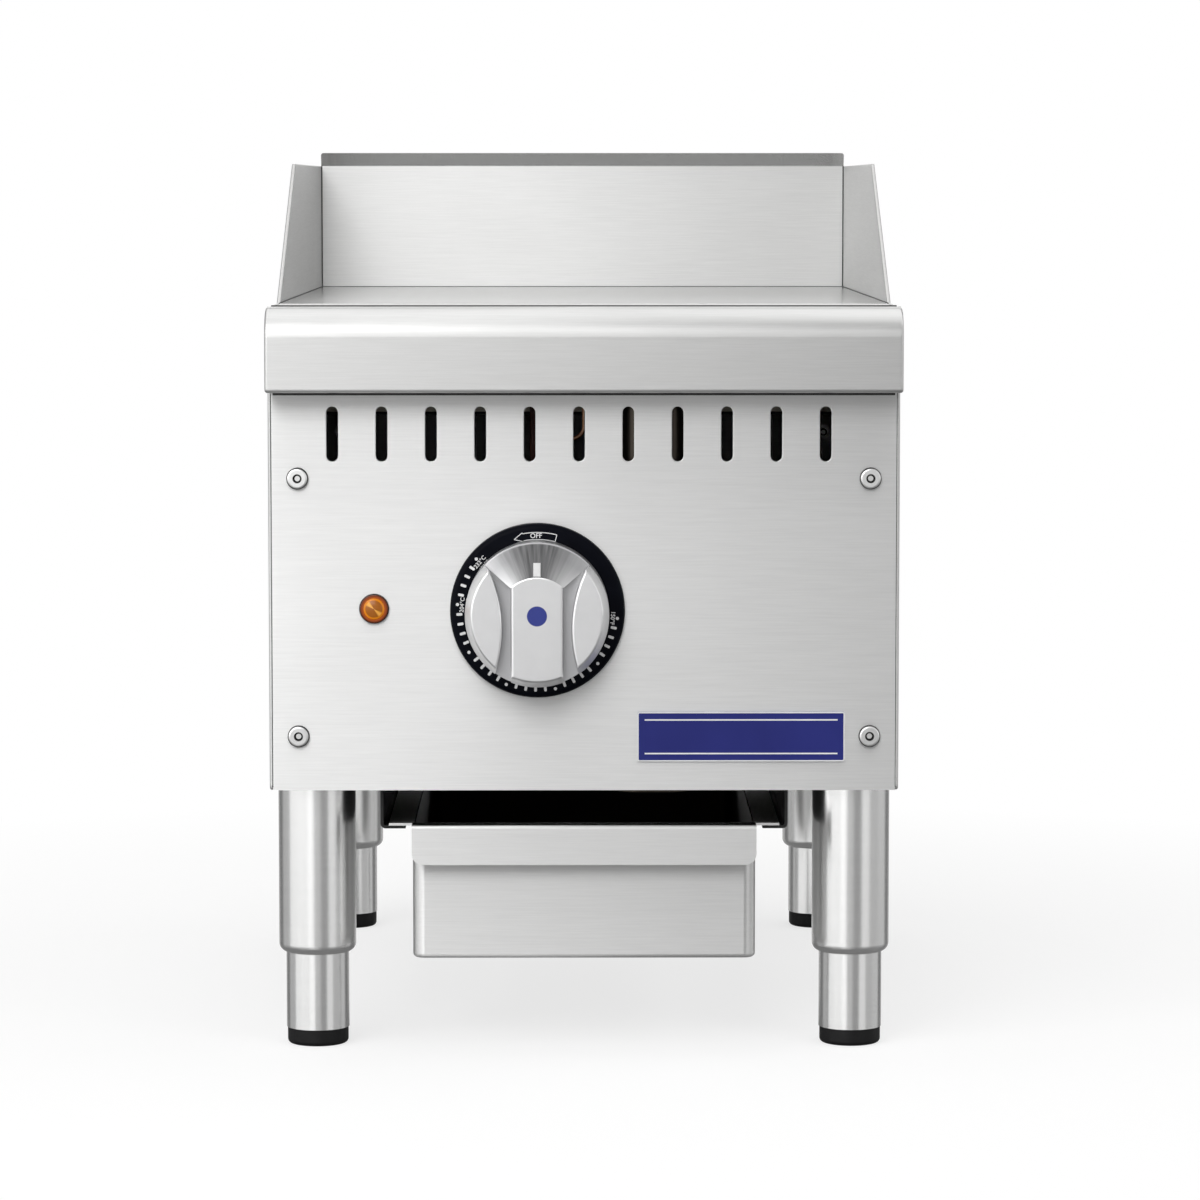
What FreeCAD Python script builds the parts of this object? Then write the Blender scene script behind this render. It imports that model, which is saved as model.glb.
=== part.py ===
import FreeCAD, Part
import math
import os

os.makedirs("parts", exist_ok=True)
Vector = FreeCAD.Vector

# Electric countertop griddle. Sizes are in millimetres.
# Heights run up from the floor, depths run back from the front face of the nose,
# and left and right are as seen by someone standing in front.

# Body shell
body_width = 305.0
body_depth = 466.0
body_clearance = 129.8
sheet = 1.5
flange_width = 24.0
top_flange_width = 21.0
rear_flange_depth = 24.5
pan_edge_height = 15.0
panel_edge_radius = 0.4
side_edge_radius = 0.9
side_corner_radius = 2.5
nose_overhang = 23.0

# Cooking plate
plate_top = 364.8
plate_thickness = 12.0
plate_edge_radius = 3.0

# Side guards and rear splash
guard_thickness = 2.0
guard_height = 68.7
guard_setback = 74.0
guard_slope_length = 132.0
guard_corner_radius = 7.0
guard_edge_radius = 0.6
splash_box_depth = 14.0
splash_lip_length = 7.4
splash_lip_lean = 25.0
splash_lip_corner = 1.4

# Bull-nose front
nose_height = 40.7
nose_drop = 0.6
nose_radius = 14.0
nose_hem_radius = 1.8
nose_end_radius = 1.4
nose_return_height = 24.0

# Grease trough and chute
trough_width = 31.5
trough_depth = 27.0
trough_drop = 3.0
trough_sheet = 1.2
chute_x = 33.5
chute_length = 39.0
chute_width = 26.0
chute_wall = 1.2
chute_overhang = 1.5
chute_clearance = 0.3

# Vent slots in the front panel
slot_pitch = 23.8
slot_width = 5.45
slot_height = 26.4
slot_top = 316.0
slot_margin = 30.0
slot_row_offset = -2.4

# Button-head screws that hold the front and rear panels
screw_inset = 14.2
screw_upper_height = 281.4
screw_lower_height = 156.3
screw_head_radius = 5.3
screw_head_height = 3.0
screw_head_rounding = 1.3
screw_shank_radius = 2.5
screw_length = 10.0
screw_socket_width = 3.8
screw_socket_depth = 1.8
screw_hole_clearance = 0.3
nut_width = 8.0
nut_height = 4.0
nut_clearance = 0.05

# Dial, thermostat and its shaft
dial_x = -22.5
dial_height = 217.7
bezel_radius = 42.25
bezel_thickness = 6.0
bezel_hole_radius = 19.0
bezel_edge_radius = 2.5
bezel_peg_radius = 2.0
bezel_peg_spread = 30.0
bezel_peg_length = 4.0
thermostat_width = 42.0
thermostat_depth = 40.0
thermostat_screw_spread = 14.0
thermostat_screw_radius = 2.0
thermostat_screw_head_radius = 3.5
thermostat_screw_head_height = 2.4
thermostat_screw_length = 10.0
shaft_radius = 3.0
shaft_flat = 2.0
shaft_embed = 8.0
shaft_clearance = 0.05
shaft_panel_hole_radius = 5.0

# Control knob
knob_height = 29.5
knob_gap = 1.2
knob_skirt_radius = 34.5
knob_face_radius = 31.5
knob_bevel_height = 5.0
knob_wall = 2.5
knob_ceiling = 13.5
knob_hub_radius = 8.0
knob_bore_depth = 14.0
knob_bar_width = 24.9
knob_bar_top = 18.3
knob_groove_depth = 9.0
knob_wing_offset = 82.5
knob_wing_drop = 6.5
knob_wing_radius = 66.0
knob_slope_drop = 11.0
knob_edge_radius = 1.2
knob_rim_rounding = 0.8
clip_width = 2.4
clip_thickness = 0.5
clip_length = 8.0
clip_inset = 3.0

# Pilot lamp
lamp_inset = 51.0
lamp_height = 218.4
lamp_rim_radius = 7.25
lamp_rim_thickness = 2.5
lamp_rim_rounding = 0.9
lamp_pocket_floor = 0.5
lamp_lens_radius = 5.1
lamp_lens_thickness = 2.0
lamp_lens_dome = 1.2
lamp_barrel_radius = 5.6
lamp_barrel_length = 22.0
lamp_nut_width = 15.0
lamp_nut_height = 4.0
lamp_clearance = 0.1

# Badge plate
badge_inset = 76.4
badge_height = 156.0
badge_length = 100.5
badge_width = 24.1
badge_thickness = 1.0
badge_corner = 1.0

# Heating elements and the bars that clamp them under the plate
element_radius = 4.0
element_pitch = 30.0
element_gap = 50.0
element_front_inset = 16.0
element_rear_inset = 22.0
element_clearance = 0.1
terminal_bead_radius = 5.0
terminal_bead_length = 6.0
terminal_pin_radius = 1.6
terminal_pin_length = 6.0
clamp_bar_width = 20.0
clamp_bar_thickness = 3.0
clamp_bar_overhang = 8.0
clamp_bar_end_inset = 60.0
stud_radius = 3.0
stud_overrun = 2.5
clamp_nut_width = 10.0
clamp_nut_height = 5.0

# Insulation under the elements
insulation_thickness = 21.0
insulation_drop = 1.5
insulation_side_gap = 25.0
tray_front_gap = 10.0
tray_edge_height = 15.0

# Thermostat bulb and capillary
bulb_radius = 3.0
bulb_length = 110.0
bulb_setback = 120.0
bulb_clearance = 0.2
capillary_radius = 1.0
capillary_bend = 6.0
capillary_gap = 4.0
capillary_jog_height = 60.0

# Internal leads
lead_radius = 1.5
lead_bend = 8.0
element_lead_spread = 7.0
element_lead_step = 12.0
element_lead_height = 20.0
lamp_lead_spread = 2.5
lamp_lead_run = 9.0
supply_lead_spread = 7.0
supply_lead_rise_gap = 45.0
supply_lead_drop = 12.0

# Terminal block
terminal_inset = 92.5
terminal_setback = 36.0
terminal_length = 46.0
terminal_depth = 24.0
terminal_height = 20.0
terminal_notch_width = 8.0
terminal_notch_depth = 7.0
terminal_poles = 3

# Cord gland in the rear panel
gland_inset = 47.5
gland_height = 165.0
gland_bore_radius = 5.0
gland_reach = 17.0
gland_neck_radius = 9.5
gland_neck_rounding = 2.5
gland_flange_width = 24.0
gland_flange_thickness = 4.0
gland_sleeve_radius = 8.2
gland_sleeve_length = 14.0
gland_nut_width = 22.0
gland_nut_height = 4.0
gland_clearance = 0.1

# Grease drawer and its rails
drawer_width = 167.5
drawer_length = 340.0
drawer_bottom = 45.7
drawer_sheet = 1.2
drawer_corner_radius = 5.8
drawer_bottom_radius = 2.2
drawer_flange = 11.8
drawer_flange_setback = 8.0
lip_setback = 22.0
lip_top = 112.5
lip_height = 19.2
lip_gap = 9.8
lip_bend_radius = 1.5
lip_corner_radius = 5.4
rail_side_gap = 2.7
rail_lip = 12.3
rail_top_flange = 12.0
rail_bend_radius = 2.5
rail_setback = 18.5
rail_length = 394.5
rail_drawer_clearance = 0.2
rail_screw_count = 3
rail_screw_end_inset = 40.0
rail_screw_radius = 2.0
rail_screw_head_radius = 3.8
rail_screw_head_height = 2.4
rail_screw_length = 9.0

# Legs and their screw feet
leg_radius = 19.0
leg_bottom = 45.7
leg_wall = 1.5
leg_cap = 6.0
leg_shoulder_radius = 4.5
leg_shoulder = 5.0
front_leg_inset = 21.0
front_leg_setback = 58.0
rear_leg_inset = 19.2
rear_leg_setback = 36.0
leg_stud_radius = 5.0
leg_stud_rise = 13.0
leg_nut_width = 17.0
leg_nut_height = 8.0
bush_height = 14.0
foot_radius = 15.5
foot_wall = 1.5
foot_tube_top = 90.0
foot_clearance = 0.3
thread_clearance = 0.05
pad_radius = 15.0
pad_height = 8.3
pad_plug_height = 12.0
pad_rounding = 2.2
pad_fit = 0.1

# Levels and faces worked out from the sizes above
half_width = body_width / 2
inner_half = half_width - sheet
plate_half = inner_half - guard_thickness
panel_front = nose_overhang
panel_back = panel_front + sheet
rear_inside = body_depth - sheet
pan_top = body_clearance + sheet
plate_bottom = plate_top - plate_thickness
plate_front = panel_back + trough_width
splash_front = body_depth - splash_box_depth
guard_top = plate_top + guard_height
nose_top = plate_top - nose_drop
nose_bottom = nose_top - nose_height
nose_return_bottom = nose_top - nose_return_height
trough_top = plate_top - trough_drop
trough_bottom = trough_top - trough_depth
chute_depth = panel_back + trough_width / 2
screw_x = half_width - screw_inset
lamp_x = lamp_inset - half_width
badge_x = half_width - badge_inset
terminal_x = half_width - terminal_inset
gland_x = half_width - gland_inset
element_level = plate_bottom - element_clearance - element_radius
bar_top = element_level - element_radius - element_clearance
bar_bottom = bar_top - clamp_bar_thickness
stud_end = bar_bottom - clamp_nut_height - stud_overrun
blanket_top = stud_end - insulation_drop
tray_top = blanket_top - insulation_thickness
tray_front = plate_front + tray_front_gap
tray_rear = body_depth - sheet - rear_flange_depth
drawer_half = drawer_width / 2
drawer_front = lip_setback + drawer_sheet + lip_gap
drawer_top = lip_top - drawer_sheet
flange_bottom = drawer_top - drawer_sheet
rail_web = drawer_half + drawer_flange + rail_side_gap
rail_lip_top = flange_bottom - rail_drawer_clearance
rail_front = panel_back + rail_setback
foot_bore_radius = foot_radius + foot_clearance
knob_face = bezel_thickness + knob_height
knob_back = bezel_thickness + knob_gap
tolerance = 1e-6
edge_search = 1e-3

# The part stands on its feet with its origin under the middle of its box
front_most = min(0.0, panel_front - knob_face)
rear_most = body_depth + gland_reach
centre_depth = (front_most + rear_most) / 2

legs = {
    "front_left": (front_leg_inset - half_width, front_leg_setback),
    "front_right": (half_width - front_leg_inset, front_leg_setback),
    "rear_left": (rear_leg_inset - half_width, body_depth - rear_leg_setback),
    "rear_right": (half_width - rear_leg_inset, body_depth - rear_leg_setback),
}


# Helpers

def point(x, depth, z):
    return Vector(x, depth - centre_depth, z)


def block(x0, x1, depth0, depth1, z0, z1):
    return Part.makeBox(x1 - x0, depth1 - depth0, z1 - z0, point(x0, depth0, z0))


def post(x, depth, z0, z1, radius):
    return Part.makeCylinder(radius, z1 - z0, point(x, depth, z0))


def spindle(x, z, depth0, depth1, radius):
    return Part.makeCylinder(radius, depth1 - depth0, point(x, depth0, z), Vector(0, 1, 0))


def disc(radius, z0, z1, x=0.0, y=0.0):
    return Part.makeCylinder(radius, z1 - z0, Vector(x, y, z0))


def face_front(shape, x, z, depth):
    """Turn a shape modelled face up so that it faces forwards, with its origin at a place."""
    turned = shape.copy()
    turned.rotate(Vector(0, 0, 0), Vector(1, 0, 0), 90)
    turned.translate(point(x, depth, z))
    return turned


def face_rear(shape, x, z, depth):
    turned = shape.copy()
    turned.rotate(Vector(0, 0, 0), Vector(0, 0, 1), 180)
    turned.rotate(Vector(0, 0, 0), Vector(1, 0, 0), -90)
    turned.translate(point(x, depth, z))
    return turned


def mirrored(shape):
    return shape.mirror(Vector(0, 0, 0), Vector(1, 0, 0))


def joined(*shapes):
    return shapes[0].fuse(list(shapes[1:])).removeSplitter()


def hexagon(across_flats, z0, z1):
    radius = across_flats / math.sqrt(3)
    turns = [math.radians(60 * side) for side in range(7)]
    ring = [Vector(radius * math.cos(turn), radius * math.sin(turn), z0) for turn in turns]
    return Part.Face(Part.makePolygon(ring)).extrude(Vector(0, 0, z1 - z0))


def rounded_corner(before, here, after, radius):
    """Return the start, middle and end of the arc that rounds one corner of an outline."""
    towards_before = (before - here).normalize()
    towards_after = (after - here).normalize()
    half_angle = towards_before.getAngle(towards_after) / 2
    reach = radius / math.tan(half_angle)
    bisector = (towards_before + towards_after).normalize()
    middle = here + bisector * (radius / math.sin(half_angle) - radius)
    return here + towards_before * reach, middle, here + towards_after * reach


def rounded_wire(points, radii, closed):
    """Join points by straight runs, with a tangent arc at each point that has a radius."""
    count = len(points)
    stops = []
    for index, here in enumerate(points):
        open_end = not closed and index in (0, count - 1)
        if open_end or radii[index] == 0:
            stops.append((here, None, here))
        else:
            following = points[(index + 1) % count]
            stops.append(rounded_corner(points[index - 1], here, following, radii[index]))
    edges = []
    for index, (start, middle, end) in enumerate(stops):
        if middle is not None:
            edges.append(Part.Arc(start, middle, end).toShape())
        if index == count - 1 and not closed:
            break
        following = stops[(index + 1) % count][0]
        if end.distanceToPoint(following) > tolerance:
            edges.append(Part.makeLine(end, following))
    return Part.Wire(edges)


def across(corners, x0, x1):
    """Extrude an outline of (depth, height, radius) corners across the part."""
    points = [point(x0, depth, z) for depth, z, radius in corners]
    radii = [radius for depth, z, radius in corners]
    return Part.Face(rounded_wire(points, radii, True)).extrude(Vector(x1 - x0, 0, 0))


def backwards(corners, depth0, depth1):
    """Extrude an outline of (x, height, radius) corners towards the back."""
    points = [point(x, depth0, z) for x, z, radius in corners]
    radii = [radius for x, z, radius in corners]
    return Part.Face(rounded_wire(points, radii, True)).extrude(Vector(0, depth1 - depth0, 0))


def upwards(corners, z0, z1):
    """Extrude an outline of (x, depth, radius) corners upwards."""
    points = [point(x, depth, z0) for x, depth, radius in corners]
    radii = [radius for x, depth, radius in corners]
    return Part.Face(rounded_wire(points, radii, True)).extrude(Vector(0, 0, z1 - z0))


def rounded_block(x0, x1, depth0, depth1, z0, z1, radius):
    corners = [(x0, depth0, radius), (x1, depth0, radius), (x1, depth1, radius), (x0, depth1, radius)]
    return upwards(corners, z0, z1)


def turned_profile(outline):
    """Spin an outline of (radius, height) points about the upright axis."""
    points = [Vector(radius, 0, z) for radius, z in outline]
    points.append(points[0])
    return Part.Face(Part.makePolygon(points)).revolve(Vector(0, 0, 0), Vector(0, 0, 1), 360)


def round_rod(points, bend, radius):
    """Sweep a round section along straight runs joined by tangent arcs."""
    path = rounded_wire(points, [bend] * len(points), False)
    circle = Part.Circle(points[0], points[1] - points[0], radius).toShape()
    return path.makePipeShell([Part.Wire([circle])], True, False)


def edges_where(shape, keep):
    return [edge for edge in shape.Edges if keep(edge.BoundBox)]


def save(name, *solids):
    shape = solids[0] if len(solids) == 1 else Part.makeCompound(list(solids))
    shape.exportStep("parts/" + name + ".step")


# Cooking surface

def griddle_plate():
    plate = block(-plate_half, plate_half, plate_front, splash_front, plate_bottom, plate_top)
    front_y = point(0, plate_front, 0).y

    def is_front_top(box):
        return box.YMax < front_y + tolerance and box.ZMin > plate_top - tolerance

    return plate.makeFillet(plate_edge_radius, edges_where(plate, is_front_top))


def side_guard():
    """Right guard: a strip beside the trough, then a raked front edge up to a level top."""
    outline = [
        (panel_back, plate_bottom, 0),
        (panel_back, nose_top, 0),
        (guard_setback, plate_top, 0),
        (guard_setback + guard_slope_length, guard_top, guard_corner_radius),
        (body_depth, guard_top, guard_corner_radius),
        (body_depth, plate_bottom, 0),
    ]
    guard = across(outline, plate_half, inner_half)
    outline_edges = edges_where(guard, lambda box: box.XLength < tolerance)
    return guard.makeFillet(guard_edge_radius, outline_edges)


def rear_splash():
    lean = math.radians(splash_lip_lean)
    tip_front = splash_front - splash_lip_length * math.tan(lean)
    tip_rise = guard_top + splash_lip_length
    tip_back = tip_front + sheet / math.cos(lean)
    bend_back = splash_front + sheet
    bend_rise = guard_top + sheet * math.tan(lean / 2)
    outline = [
        (splash_front, plate_bottom, 0),
        (splash_front, guard_top, 0),
        (tip_front, tip_rise, 0),
        (tip_back, tip_rise, 0),
        (bend_back, bend_rise, 0),
        (bend_back, plate_bottom + sheet, 0),
        (rear_inside, plate_bottom + sheet, 0),
        (rear_inside, plate_bottom, 0),
    ]
    splash = across(outline, -plate_half, plate_half)

    def is_lip_corner(box):
        return box.ZMin > tip_rise - tolerance and box.XLength < tolerance

    return splash.makeFillet(splash_lip_corner, edges_where(splash, is_lip_corner))


# Front

def front_nose():
    outer_outline = [
        (panel_front, nose_bottom, 0),
        (0, nose_bottom, nose_hem_radius),
        (0, nose_top, nose_radius),
        (panel_front, nose_top, 0),
    ]
    inner_outline = [
        (panel_front, nose_bottom + sheet, 0),
        (sheet, nose_bottom + sheet, nose_hem_radius - sheet),
        (sheet, nose_top - sheet, nose_radius - sheet),
        (panel_front, nose_top - sheet, 0),
    ]
    outer = across(outer_outline, -half_width, half_width)
    back_y = point(0, panel_front, 0).y

    def is_end_edge(box):
        return box.XLength < tolerance and box.YMin < back_y - tolerance

    rounded = outer.makeFillet(nose_end_radius, edges_where(outer, is_end_edge))
    hollow = rounded.cut(across(inner_outline, -inner_half, inner_half))
    back_return = block(-half_width, half_width, panel_front, panel_back, nose_return_bottom, nose_top)
    return joined(hollow, back_return)


def obround(x, depth, length, width, z0, z1):
    return rounded_block(
        x - length / 2, x + length / 2, depth - width / 2, depth + width / 2, z0, z1, width / 2
    )


def chute_passage(z0, z1):
    inner_length = chute_length - 2 * chute_wall
    inner_width = chute_width - 2 * chute_wall
    return obround(chute_x, chute_depth, inner_length, inner_width, z0, z1)


def grease_trough():
    outer = block(-plate_half, plate_half, panel_back, plate_front, trough_bottom, trough_top)
    inner = block(
        trough_sheet - plate_half, plate_half - trough_sheet,
        panel_back + trough_sheet, plate_front - trough_sheet,
        trough_bottom + trough_sheet, trough_top
    )
    return outer.cut([inner, chute_passage(trough_bottom, trough_top)])


def grease_chute():
    low = body_clearance - chute_overhang
    tube = obround(chute_x, chute_depth, chute_length, chute_width, low, trough_bottom)
    return tube.cut(chute_passage(low, trough_bottom))


def vent_slots():
    count = int((body_width - 2 * slot_margin) / slot_pitch) + 1
    first_x = slot_row_offset - slot_pitch * (count - 1) / 2
    low = slot_top - slot_height
    radius = slot_width / 2
    slots = []
    for index in range(count):
        x = first_x + index * slot_pitch
        outline = [
            (x - slot_width / 2, low, radius),
            (x + slot_width / 2, low, radius),
            (x + slot_width / 2, slot_top, radius),
            (x - slot_width / 2, slot_top, radius),
        ]
        slots.append(backwards(outline, panel_front, panel_back))
    return slots


def panel_screw_places():
    heights = (screw_lower_height, screw_upper_height)
    return [(x, z) for x in (-screw_x, screw_x) for z in heights]


def screw_holes(depth0, depth1):
    radius = screw_shank_radius + screw_hole_clearance
    return [spindle(x, z, depth0, depth1, radius) for x, z in panel_screw_places()]


def front_panel():
    panel = block(-inner_half, inner_half, panel_front, panel_back, body_clearance, nose_return_bottom)
    holes = vent_slots() + screw_holes(panel_front, panel_back)
    lamp_hole = lamp_barrel_radius + lamp_clearance
    holes.append(spindle(lamp_x, lamp_height, panel_front, panel_back, lamp_hole))
    holes.append(spindle(dial_x, dial_height, panel_front, panel_back, shaft_panel_hole_radius))
    for side in (-1, 1):
        peg_z = dial_height + side * bezel_peg_spread
        holes.append(spindle(dial_x, peg_z, panel_front, panel_back, bezel_peg_radius + lamp_clearance))
        screw_side_x = dial_x + side * thermostat_screw_spread
        hole = thermostat_screw_radius + screw_hole_clearance
        holes.append(spindle(screw_side_x, dial_height, panel_front, panel_back, hole))
    pierced = panel.cut(holes)
    front_y = point(0, panel_front, 0).y
    slot_bottom = slot_top - slot_height

    def is_rounded_edge(box):
        on_front = box.YMax < front_y + tolerance
        on_slot = box.ZMin > slot_bottom - tolerance and box.ZMax < slot_top + tolerance
        on_side = abs(box.XMin) > inner_half - tolerance and box.XLength < tolerance
        return on_front and (on_slot or on_side)

    return pierced.makeFillet(panel_edge_radius, edges_where(pierced, is_rounded_edge))


# Casing

def side_panel():
    """Right side panel, with flanges turned in at the front, rear and top."""
    flange_inner = inner_half - flange_width
    outline = [
        (panel_front, plate_bottom, 0),
        (panel_front, body_clearance, side_corner_radius),
        (body_depth, body_clearance, side_corner_radius),
        (body_depth, plate_bottom, 0),
    ]
    web = across(outline, inner_half, half_width)
    front_y = point(0, panel_front, 0).y

    def is_front_edge(box):
        return box.YMax < front_y + tolerance and box.XLength < tolerance

    def is_outer_edge(box):
        return is_front_edge(box) and box.XMin > half_width - tolerance

    web = web.makeFillet(side_edge_radius, edges_where(web, is_outer_edge))
    web = web.makeFillet(panel_edge_radius, edges_where(web, is_front_edge))
    front = block(flange_inner, inner_half, panel_back, panel_back + sheet, pan_top, trough_bottom)
    rear_top = plate_bottom - sheet
    rear = block(flange_inner, inner_half, rear_inside - sheet, rear_inside, pan_top, rear_top)
    top = block(inner_half - top_flange_width, inner_half, plate_front, tray_rear, rear_top, plate_bottom)
    nose_notch = block(inner_half, half_width, panel_front, panel_back, nose_return_bottom, plate_bottom)
    shell = joined(web, front, rear, top).cut(nose_notch)
    return shell.cut(screw_holes(panel_back, body_depth))


def rear_panel():
    panel = block(-inner_half, inner_half, rear_inside, body_depth, body_clearance, plate_bottom)
    flange = block(-inner_half, inner_half, tray_rear, rear_inside, plate_bottom - sheet, plate_bottom)
    hole_radius = gland_sleeve_radius + gland_clearance
    gland_hole = spindle(gland_x, gland_height, rear_inside, body_depth, hole_radius)
    return joined(panel, flange).cut(screw_holes(rear_inside, body_depth) + [gland_hole])


def rail_screw_places():
    last = rail_front + rail_length - rail_screw_end_inset
    first = rail_front + rail_screw_end_inset
    step = (last - first) / (rail_screw_count - 1)
    x = rail_web - rail_top_flange / 2
    return [(side * x, first + step * index) for side in (-1, 1) for index in range(rail_screw_count)]


def bottom_pan():
    floor = block(-inner_half, inner_half, panel_back, rear_inside, body_clearance, pan_top)
    edge_front = panel_back + sheet
    edge_rear = rear_inside - sheet
    edge = block(inner_half - sheet, inner_half, edge_front, edge_rear, pan_top, pan_top + pan_edge_height)
    hole_length = chute_length + 2 * chute_clearance
    hole_width = chute_width + 2 * chute_clearance
    holes = [obround(chute_x, chute_depth, hole_length, hole_width, body_clearance, pan_top)]
    for x, depth in legs.values():
        holes.append(post(x, depth, body_clearance, pan_top, leg_stud_radius + screw_hole_clearance))
    for x, depth in rail_screw_places():
        holes.append(post(x, depth, body_clearance, pan_top, rail_screw_radius + screw_hole_clearance))
    return joined(floor, edge, mirrored(edge)).cut(holes)


def button_screw():
    """Button-head screw with a hexagon socket, face up, its head seated at height zero."""
    head = disc(screw_head_radius, 0, screw_head_height)
    rounded = head.makeFillet(screw_head_rounding, edges_where(head, lambda box: box.ZMin > tolerance))
    shank = disc(screw_shank_radius, -screw_length, 0)
    socket = hexagon(screw_socket_width, screw_head_height - screw_socket_depth, screw_head_height)
    return joined(rounded, shank).cut(socket)


def clinch_nut():
    low = -2 * sheet - nut_height
    return hexagon(nut_width, low, -2 * sheet).cut(disc(screw_shank_radius + nut_clearance, low, 0))


def save_panel_fixings():
    screw = button_screw()
    nut = clinch_nut()
    places = panel_screw_places()
    save("front_panel_screws", *[face_front(screw, x, z, panel_front) for x, z in places])
    save("rear_panel_screws", *[face_rear(screw, x, z, body_depth) for x, z in places])
    front_nuts = [face_front(nut, x, z, panel_front) for x, z in places]
    rear_nuts = [face_rear(nut, x, z, body_depth) for x, z in places]
    save("panel_nuts", *(front_nuts + rear_nuts))


# Dial, knob and thermostat, modelled face up from the front panel's face

def dial_bezel():
    ring = disc(bezel_radius, 0, bezel_thickness)
    def is_front_rim(box):
        return box.ZMin > bezel_thickness - tolerance
    ring = ring.makeFillet(bezel_edge_radius, edges_where(ring, is_front_rim))
    ring = ring.cut(disc(bezel_hole_radius, 0, bezel_thickness))
    pegs = [disc(bezel_peg_radius, -bezel_peg_length, 0, 0, side * bezel_peg_spread) for side in (-1, 1)]
    return joined(ring, *pegs)


def thermostat_body():
    half = thermostat_width / 2
    low = -sheet - thermostat_depth
    body = Part.makeBox(thermostat_width, thermostat_width, thermostat_depth, Vector(-half, -half, low))
    holes = [disc(shaft_radius + shaft_clearance, -sheet - shaft_embed, -sheet)]
    hole = thermostat_screw_radius + shaft_clearance
    for side in (-1, 1):
        holes.append(disc(hole, -thermostat_screw_length, -sheet, side * thermostat_screw_spread))
    return body.cut(holes)


def thermostat_screws():
    screws = []
    for side in (-1, 1):
        x = side * thermostat_screw_spread
        head = disc(thermostat_screw_head_radius, 0, thermostat_screw_head_height, x)
        shank = disc(thermostat_screw_radius, -thermostat_screw_length, 0, x)
        screws.append(joined(head, shank))
    return screws


def thermostat_shaft():
    low = -sheet - shaft_embed
    high = knob_back + knob_bore_depth
    rod = disc(shaft_radius, low, high)
    flat_width = shaft_radius - shaft_flat
    flat = Part.makeBox(
        2 * shaft_radius, flat_width, knob_bore_depth, Vector(-shaft_radius, shaft_flat, knob_back)
    )
    return rod.cut(flat)


def knob_spring_clip():
    low = knob_back + clip_inset
    return Part.makeBox(clip_width, clip_thickness, clip_length, Vector(-clip_width / 2, shaft_flat, low))


def knob_grooves():
    """The two finger grooves between the grip bar and the lens-shaped wings."""
    bar_half = knob_bar_width / 2
    reach = knob_skirt_radius + sheet
    floor = knob_face - knob_groove_depth
    grooves = []
    for side in (-1, 1):
        x = bar_half if side > 0 else -reach
        slab = Part.makeBox(reach - bar_half, 2 * reach, knob_groove_depth, Vector(x, -reach, floor))
        wing = disc(knob_wing_radius, floor, knob_face, side * knob_wing_offset, -knob_wing_drop)
        grooves.append(slab.cut([wing, knob_sector()]))
    return grooves


def wing_tip():
    """Upper corner of the right wing, where its arc meets the rim of the knob's face."""
    distance = math.hypot(knob_wing_offset, knob_wing_drop)
    along = (knob_face_radius ** 2 - knob_wing_radius ** 2 + distance ** 2) / (2 * distance)
    half_chord = math.sqrt(knob_face_radius ** 2 - along ** 2)
    x = (along * knob_wing_offset + half_chord * knob_wing_drop) / distance
    y = (half_chord * knob_wing_offset - along * knob_wing_drop) / distance
    return x, y


def knob_sector():
    """Upright block over the knob's top, between the grip bar's end and the tips of the wings."""
    reach = knob_skirt_radius + sheet
    bar_half = knob_bar_width / 2
    bar_end = math.sqrt(knob_bar_top ** 2 - bar_half ** 2)
    tip_x, tip_y = wing_tip()
    spread = reach * tip_x / tip_y
    ring = [
        Vector(-bar_half, bar_end, 0), Vector(bar_half, bar_end, 0), Vector(tip_x, tip_y, 0),
        Vector(spread, reach, 0), Vector(-spread, reach, 0), Vector(-tip_x, tip_y, 0),
        Vector(-bar_half, bar_end, 0),
    ]
    return Part.Face(Part.makePolygon(ring)).extrude(Vector(0, 0, 2 * knob_face))


def knob_slope():
    """The sloping top sector, from the end of the grip bar down to the rim."""
    reach = knob_skirt_radius + sheet
    fall = knob_slope_drop * (reach - knob_bar_top) / (knob_skirt_radius - knob_bar_top)
    cone = turned_profile([
        (knob_bar_top, knob_face + tolerance),
        (reach, knob_face - fall),
        (reach, knob_face + tolerance),
    ])
    return cone.common(knob_sector())


def control_knob():
    bore = shaft_radius + shaft_clearance
    ceiling = knob_face - knob_ceiling
    cavity = knob_skirt_radius - knob_wall
    bore_end = knob_back + knob_bore_depth + shaft_clearance
    blank = turned_profile([
        (0, knob_face),
        (knob_face_radius, knob_face),
        (knob_skirt_radius, knob_face - knob_bevel_height),
        (knob_skirt_radius, knob_back),
        (cavity, knob_back),
        (cavity, ceiling),
        (knob_hub_radius, ceiling),
        (knob_hub_radius, knob_back),
        (bore, knob_back),
        (bore, bore_end),
        (0, bore_end),
    ])
    bevel_foot = knob_face - knob_bevel_height
    rim = edges_where(blank, lambda box: abs(box.ZMin - bevel_foot) + box.ZLength < edge_search)
    shaped = blank.makeFillet(knob_rim_rounding, rim).cut(knob_grooves() + [knob_slope()])
    face_edges = edges_where(shaped, lambda box: box.ZMin > knob_face - edge_search)
    return shaped.makeFillet(knob_edge_radius, face_edges)


def save_dial():
    def at_dial(shape):
        return face_front(shape, dial_x, dial_height, panel_front)
    save("dial_bezel", at_dial(dial_bezel()))
    save("thermostat_body", at_dial(thermostat_body()))
    save("thermostat_screws", *[at_dial(screw) for screw in thermostat_screws()])
    save("thermostat_shaft", at_dial(thermostat_shaft()))
    save("knob_spring_clip", at_dial(knob_spring_clip()))
    save("control_knob", at_dial(control_knob()))


# Pilot lamp and badge

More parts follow.
